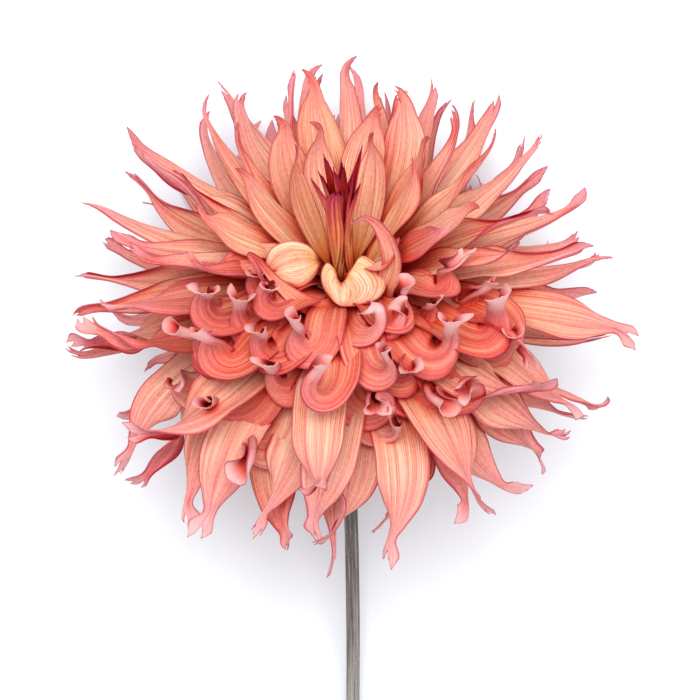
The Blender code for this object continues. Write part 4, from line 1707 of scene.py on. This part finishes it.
@dataclass
class Involucre:
    """The green under the head: a ring of thin overlapping scales and five leafy bracts.

    Attributes:
        head: The frame that they grow from.
        scales: How many scales make the ring.
        scale_seat: The scales' angle from the axis.
        scale_length: How far each reaches out.
        scale_width: Its widest width.
        scale_drop: How steeply it falls back, which eases by a quarter towards its tip.
        scale_outline: Half its width along its length, as (stations, shares of the widest).
        scale_half: Half its thickness.
        leaves: How many leafy bracts stand below the ring.
        leaf_seat: Where they leave: out from the axis and along it.
        leaf_length: From base to tip.
        leaf_width: The widest width.
        leaf_lean: Their angle from the axis at the base and at the tip.
        first_leaf: The first one's direction round the axis.
        rows: Grid points along each.
        columns: Grid points across it.
        leaf_steps: Steps of a leafy bract's bend.
    """

    head: Head
    scales: int = 8
    scale_seat: float = math.radians(117)
    scale_length: float = 11 * MM
    scale_width: float = 12.5 * MM
    scale_drop: float = math.radians(24)
    scale_outline: Table = ((0, 0.2, 0.45, 0.7, 0.88, 1), (0.78, 0.95, 1, 0.78, 0.42, 0.06))
    scale_half: float = 0.11 * MM
    leaves: int = 5
    leaf_seat: Range = (8.9 * MM, -8.85 * MM)
    leaf_length: float = 22 * MM
    leaf_width: float = 9 * MM
    leaf_lean: Range = (math.radians(112), math.radians(162))
    first_leaf: float = math.radians(18)
    rows: int = 34
    columns: int = 13
    leaf_steps: int = 400

    def grid(self) -> tuple[np.ndarray, np.ndarray]:
        """Shares along and across, as a column and a row."""
        return np.linspace(0, 1, self.rows)[:, None], np.linspace(-1, 1, self.columns)[None, :]

    def scale(self, number: int) -> bpy.types.Mesh:
        """Build one thin scale, which lies on the next one with its left side.

        Args:
            number: Its place in the ring, from 0.

        Returns:
            The mesh.
        """
        s, u = self.grid()
        half = soft_interp(s, *self.scale_outline) * self.scale_width / 2
        reach = s * self.scale_length * (0.97 + 0.03 * math.sin(2.7 * number))
        out = self.head.seat_radius * math.sin(self.scale_seat) + reach
        fall = reach * np.tan(self.scale_drop * (1 - 0.25 * s))
        height = self.head.seat_radius * math.cos(self.scale_seat) - fall
        height = height - 0.4 * MM + 0.25 * MM * u * (1 - 0.5 * s)
        outward = self.head.outward(number * FULL_TURN / self.scales + 0.1 + u * half / out)
        place = self.head.centre + out[..., None] * outward + height[..., None] * self.head.axis
        return thick_sheet(f"inner_scale_{number + 1}", place, self.scale_half, (u + 1) / 2, s)

    def leaf(self, number: int) -> bpy.types.Mesh:
        """Build one leafy bract, which turns back along the stem.

        Args:
            number: Its place round the stem, from 0.

        Returns:
            The mesh.
        """
        s, u = self.grid()
        azimuth = self.first_leaf + number * FULL_TURN / self.leaves
        outward, around = self.head.outward(azimuth), self.head.around(azimuth)
        fine = np.linspace(0, 1, self.leaf_steps)
        lean = self.leaf_lean[0] + (self.leaf_lean[1] - self.leaf_lean[0]) * fine
        out, rise = (
            seat + np.interp(s, fine, np.cumsum(run) * self.leaf_length / self.leaf_steps)[..., None]
            for seat, run in zip(self.leaf_seat, (np.sin(lean), np.cos(lean)))
        )
        way = np.interp(s, fine, lean)[..., None]
        half = self.leaf_width / 2 * np.maximum(np.sin(math.pi * (1 + 5 * s) / 6.5), 0.12)
        half = half * (1 - 0.92 * smooth(s, 0.86, 1))

        # Hollow along the middle, with margins that wave a little
        wave = np.sin(FULL_TURN * (1.6 * s + 0.37 * number) + np.where(u < 0, 1.0, 2.6))
        lift = 0.9 * MM * u**2 * smooth(s, 0.05, 0.3) * (0.6 + 0.5 * wave)
        lift = lift - 0.25 * MM * np.exp(-(u**2) / 0.02)
        face = np.sin(way) * self.head.axis - np.cos(way) * outward
        place = (
            self.head.centre + out * outward + rise * self.head.axis
            + (u * half)[..., None] * around + lift[..., None] * face
        )
        thin = (0.25 - 0.13 * np.abs(u) ** 3)[..., None] * MM
        return thick_sheet(f"leafy_bract_{number + 1}", place, thin, (u + 1) / 2, s)

    def build(self) -> list[bpy.types.Object]:
        """Build, dress and register the ring of scales and the leafy bracts.

        Returns:
            The pieces.
        """
        scale_skin, leaf_skin = SCALE_SKIN.material(), LEAF_SKIN.material()
        pieces = [
            add_piece(self.scale(number), scale_skin, "inner_bracts")
            for number in range(self.scales)
        ]
        for number in range(self.leaves):
            pieces.append(add_piece(self.leaf(number), leaf_skin, f"outer_bract_{number + 1}"))
        return pieces


@dataclass
class Receptacle:
    """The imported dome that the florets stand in, with its pitted flesh.

    Attributes:
        node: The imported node's name.
    """

    node: str = "receptacle"

    def build(self) -> list[bpy.types.Object]:
        """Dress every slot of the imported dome.

        Returns:
            The dome, as a list of one piece.
        """
        dome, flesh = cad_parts[self.node], ReceptaclePith().material()
        if not dome.material_slots:
            dome.data.materials.append(flesh)
        for place in dome.material_slots:
            place.material = flesh
        return [dome]


# Studio ---------------------------------------------------------------------------------------


@dataclass
class Studio:
    """The pale surface, the soft light and the camera.

    Attributes:
        head: What the lamps and the camera stand over.
        half_floor: Half the floor's side.
        daylight: The strength of the even light from all round.
        lamps: The name, place from the head's centre, side and power in watts of each soft lamp.
        eye: Where the camera stands, from the head's centre. It looks straight down.
        lens: The camera's focal length in mm.
        sensor: Its sensor's width in mm.
    """

    head: Head
    half_floor: float = 3.0
    daylight: float = 0.95
    lamps: tuple[tuple[str, Point, float, float], ...] = (
        ("key", (-0.1, 0.25, 0.85), 0.45, 6.0), ("fill", (0.35, 0.1, 0.75), 0.6, 2.6),
    )
    eye: Point = (0.002, -0.0197, 0.778)
    lens: float = 100.0
    sensor: float = 36.0

    def stand(self, name: str, data: Any, offset: Point | None = None) -> bpy.types.Object:
        """Put something of the studio in the scene.

        Args:
            name: Its name.
            data: Its mesh, light or camera.
            offset: Its place from the head's centre, if not on the floor.

        Returns:
            Its object.
        """
        thing = bpy.data.objects.new(name, data)
        if offset:
            thing.location = self.head.centre + np.array(offset)
        bpy.context.scene.collection.objects.link(thing)
        return thing

    def build(self) -> None:
        """Set the whole studio up."""
        scene, r = bpy.context.scene, self.half_floor
        scene.view_settings.view_transform = "Standard"
        mesh = bpy.data.meshes.new("studio_floor")
        mesh.from_pydata([(-r, -r, 0), (r, -r, 0), (r, r, 0), (-r, r, 0)], [], [(0, 1, 2, 3)])
        mesh.materials.append(PalePaper().material())
        floor = self.stand("studio_floor", mesh)

        scene.world = bpy.data.worlds.new("studio_light")
        scene.world.use_nodes = True
        background = scene.world.node_tree.nodes["Background"]
        background.inputs[0].default_value = (1, 1, 1, 1)
        background.inputs[1].default_value = self.daylight
        for name, offset, size, power in self.lamps:
            light = bpy.data.lights.new(name, "AREA")
            light.shape, light.size, light.energy = "SQUARE", size, power
            lamp = self.stand(name, light, offset)
            lamp.rotation_euler = Vector([-way for way in offset]).to_track_quat("-Z", "Y").to_euler()

        camera = bpy.data.cameras.new("camera")
        camera.lens, camera.sensor_width = self.lens, self.sensor
        scene.camera = self.stand("camera", camera, self.eye)


def main() -> None:
    """Build the flower piece by piece, then the studio."""
    logging.basicConfig(level=logging.INFO, format="%(message)s")
    head = Head.from_frame()
    for assembly in (Receptacle(), Stem(head), Involucre(head), Flowerhead(head)):
        for piece in assembly.build():
            LOG.info("%s: %d faces", piece.name, len(piece.data.polygons))
    Studio(head).build()


if __name__ == "__main__":
    main()
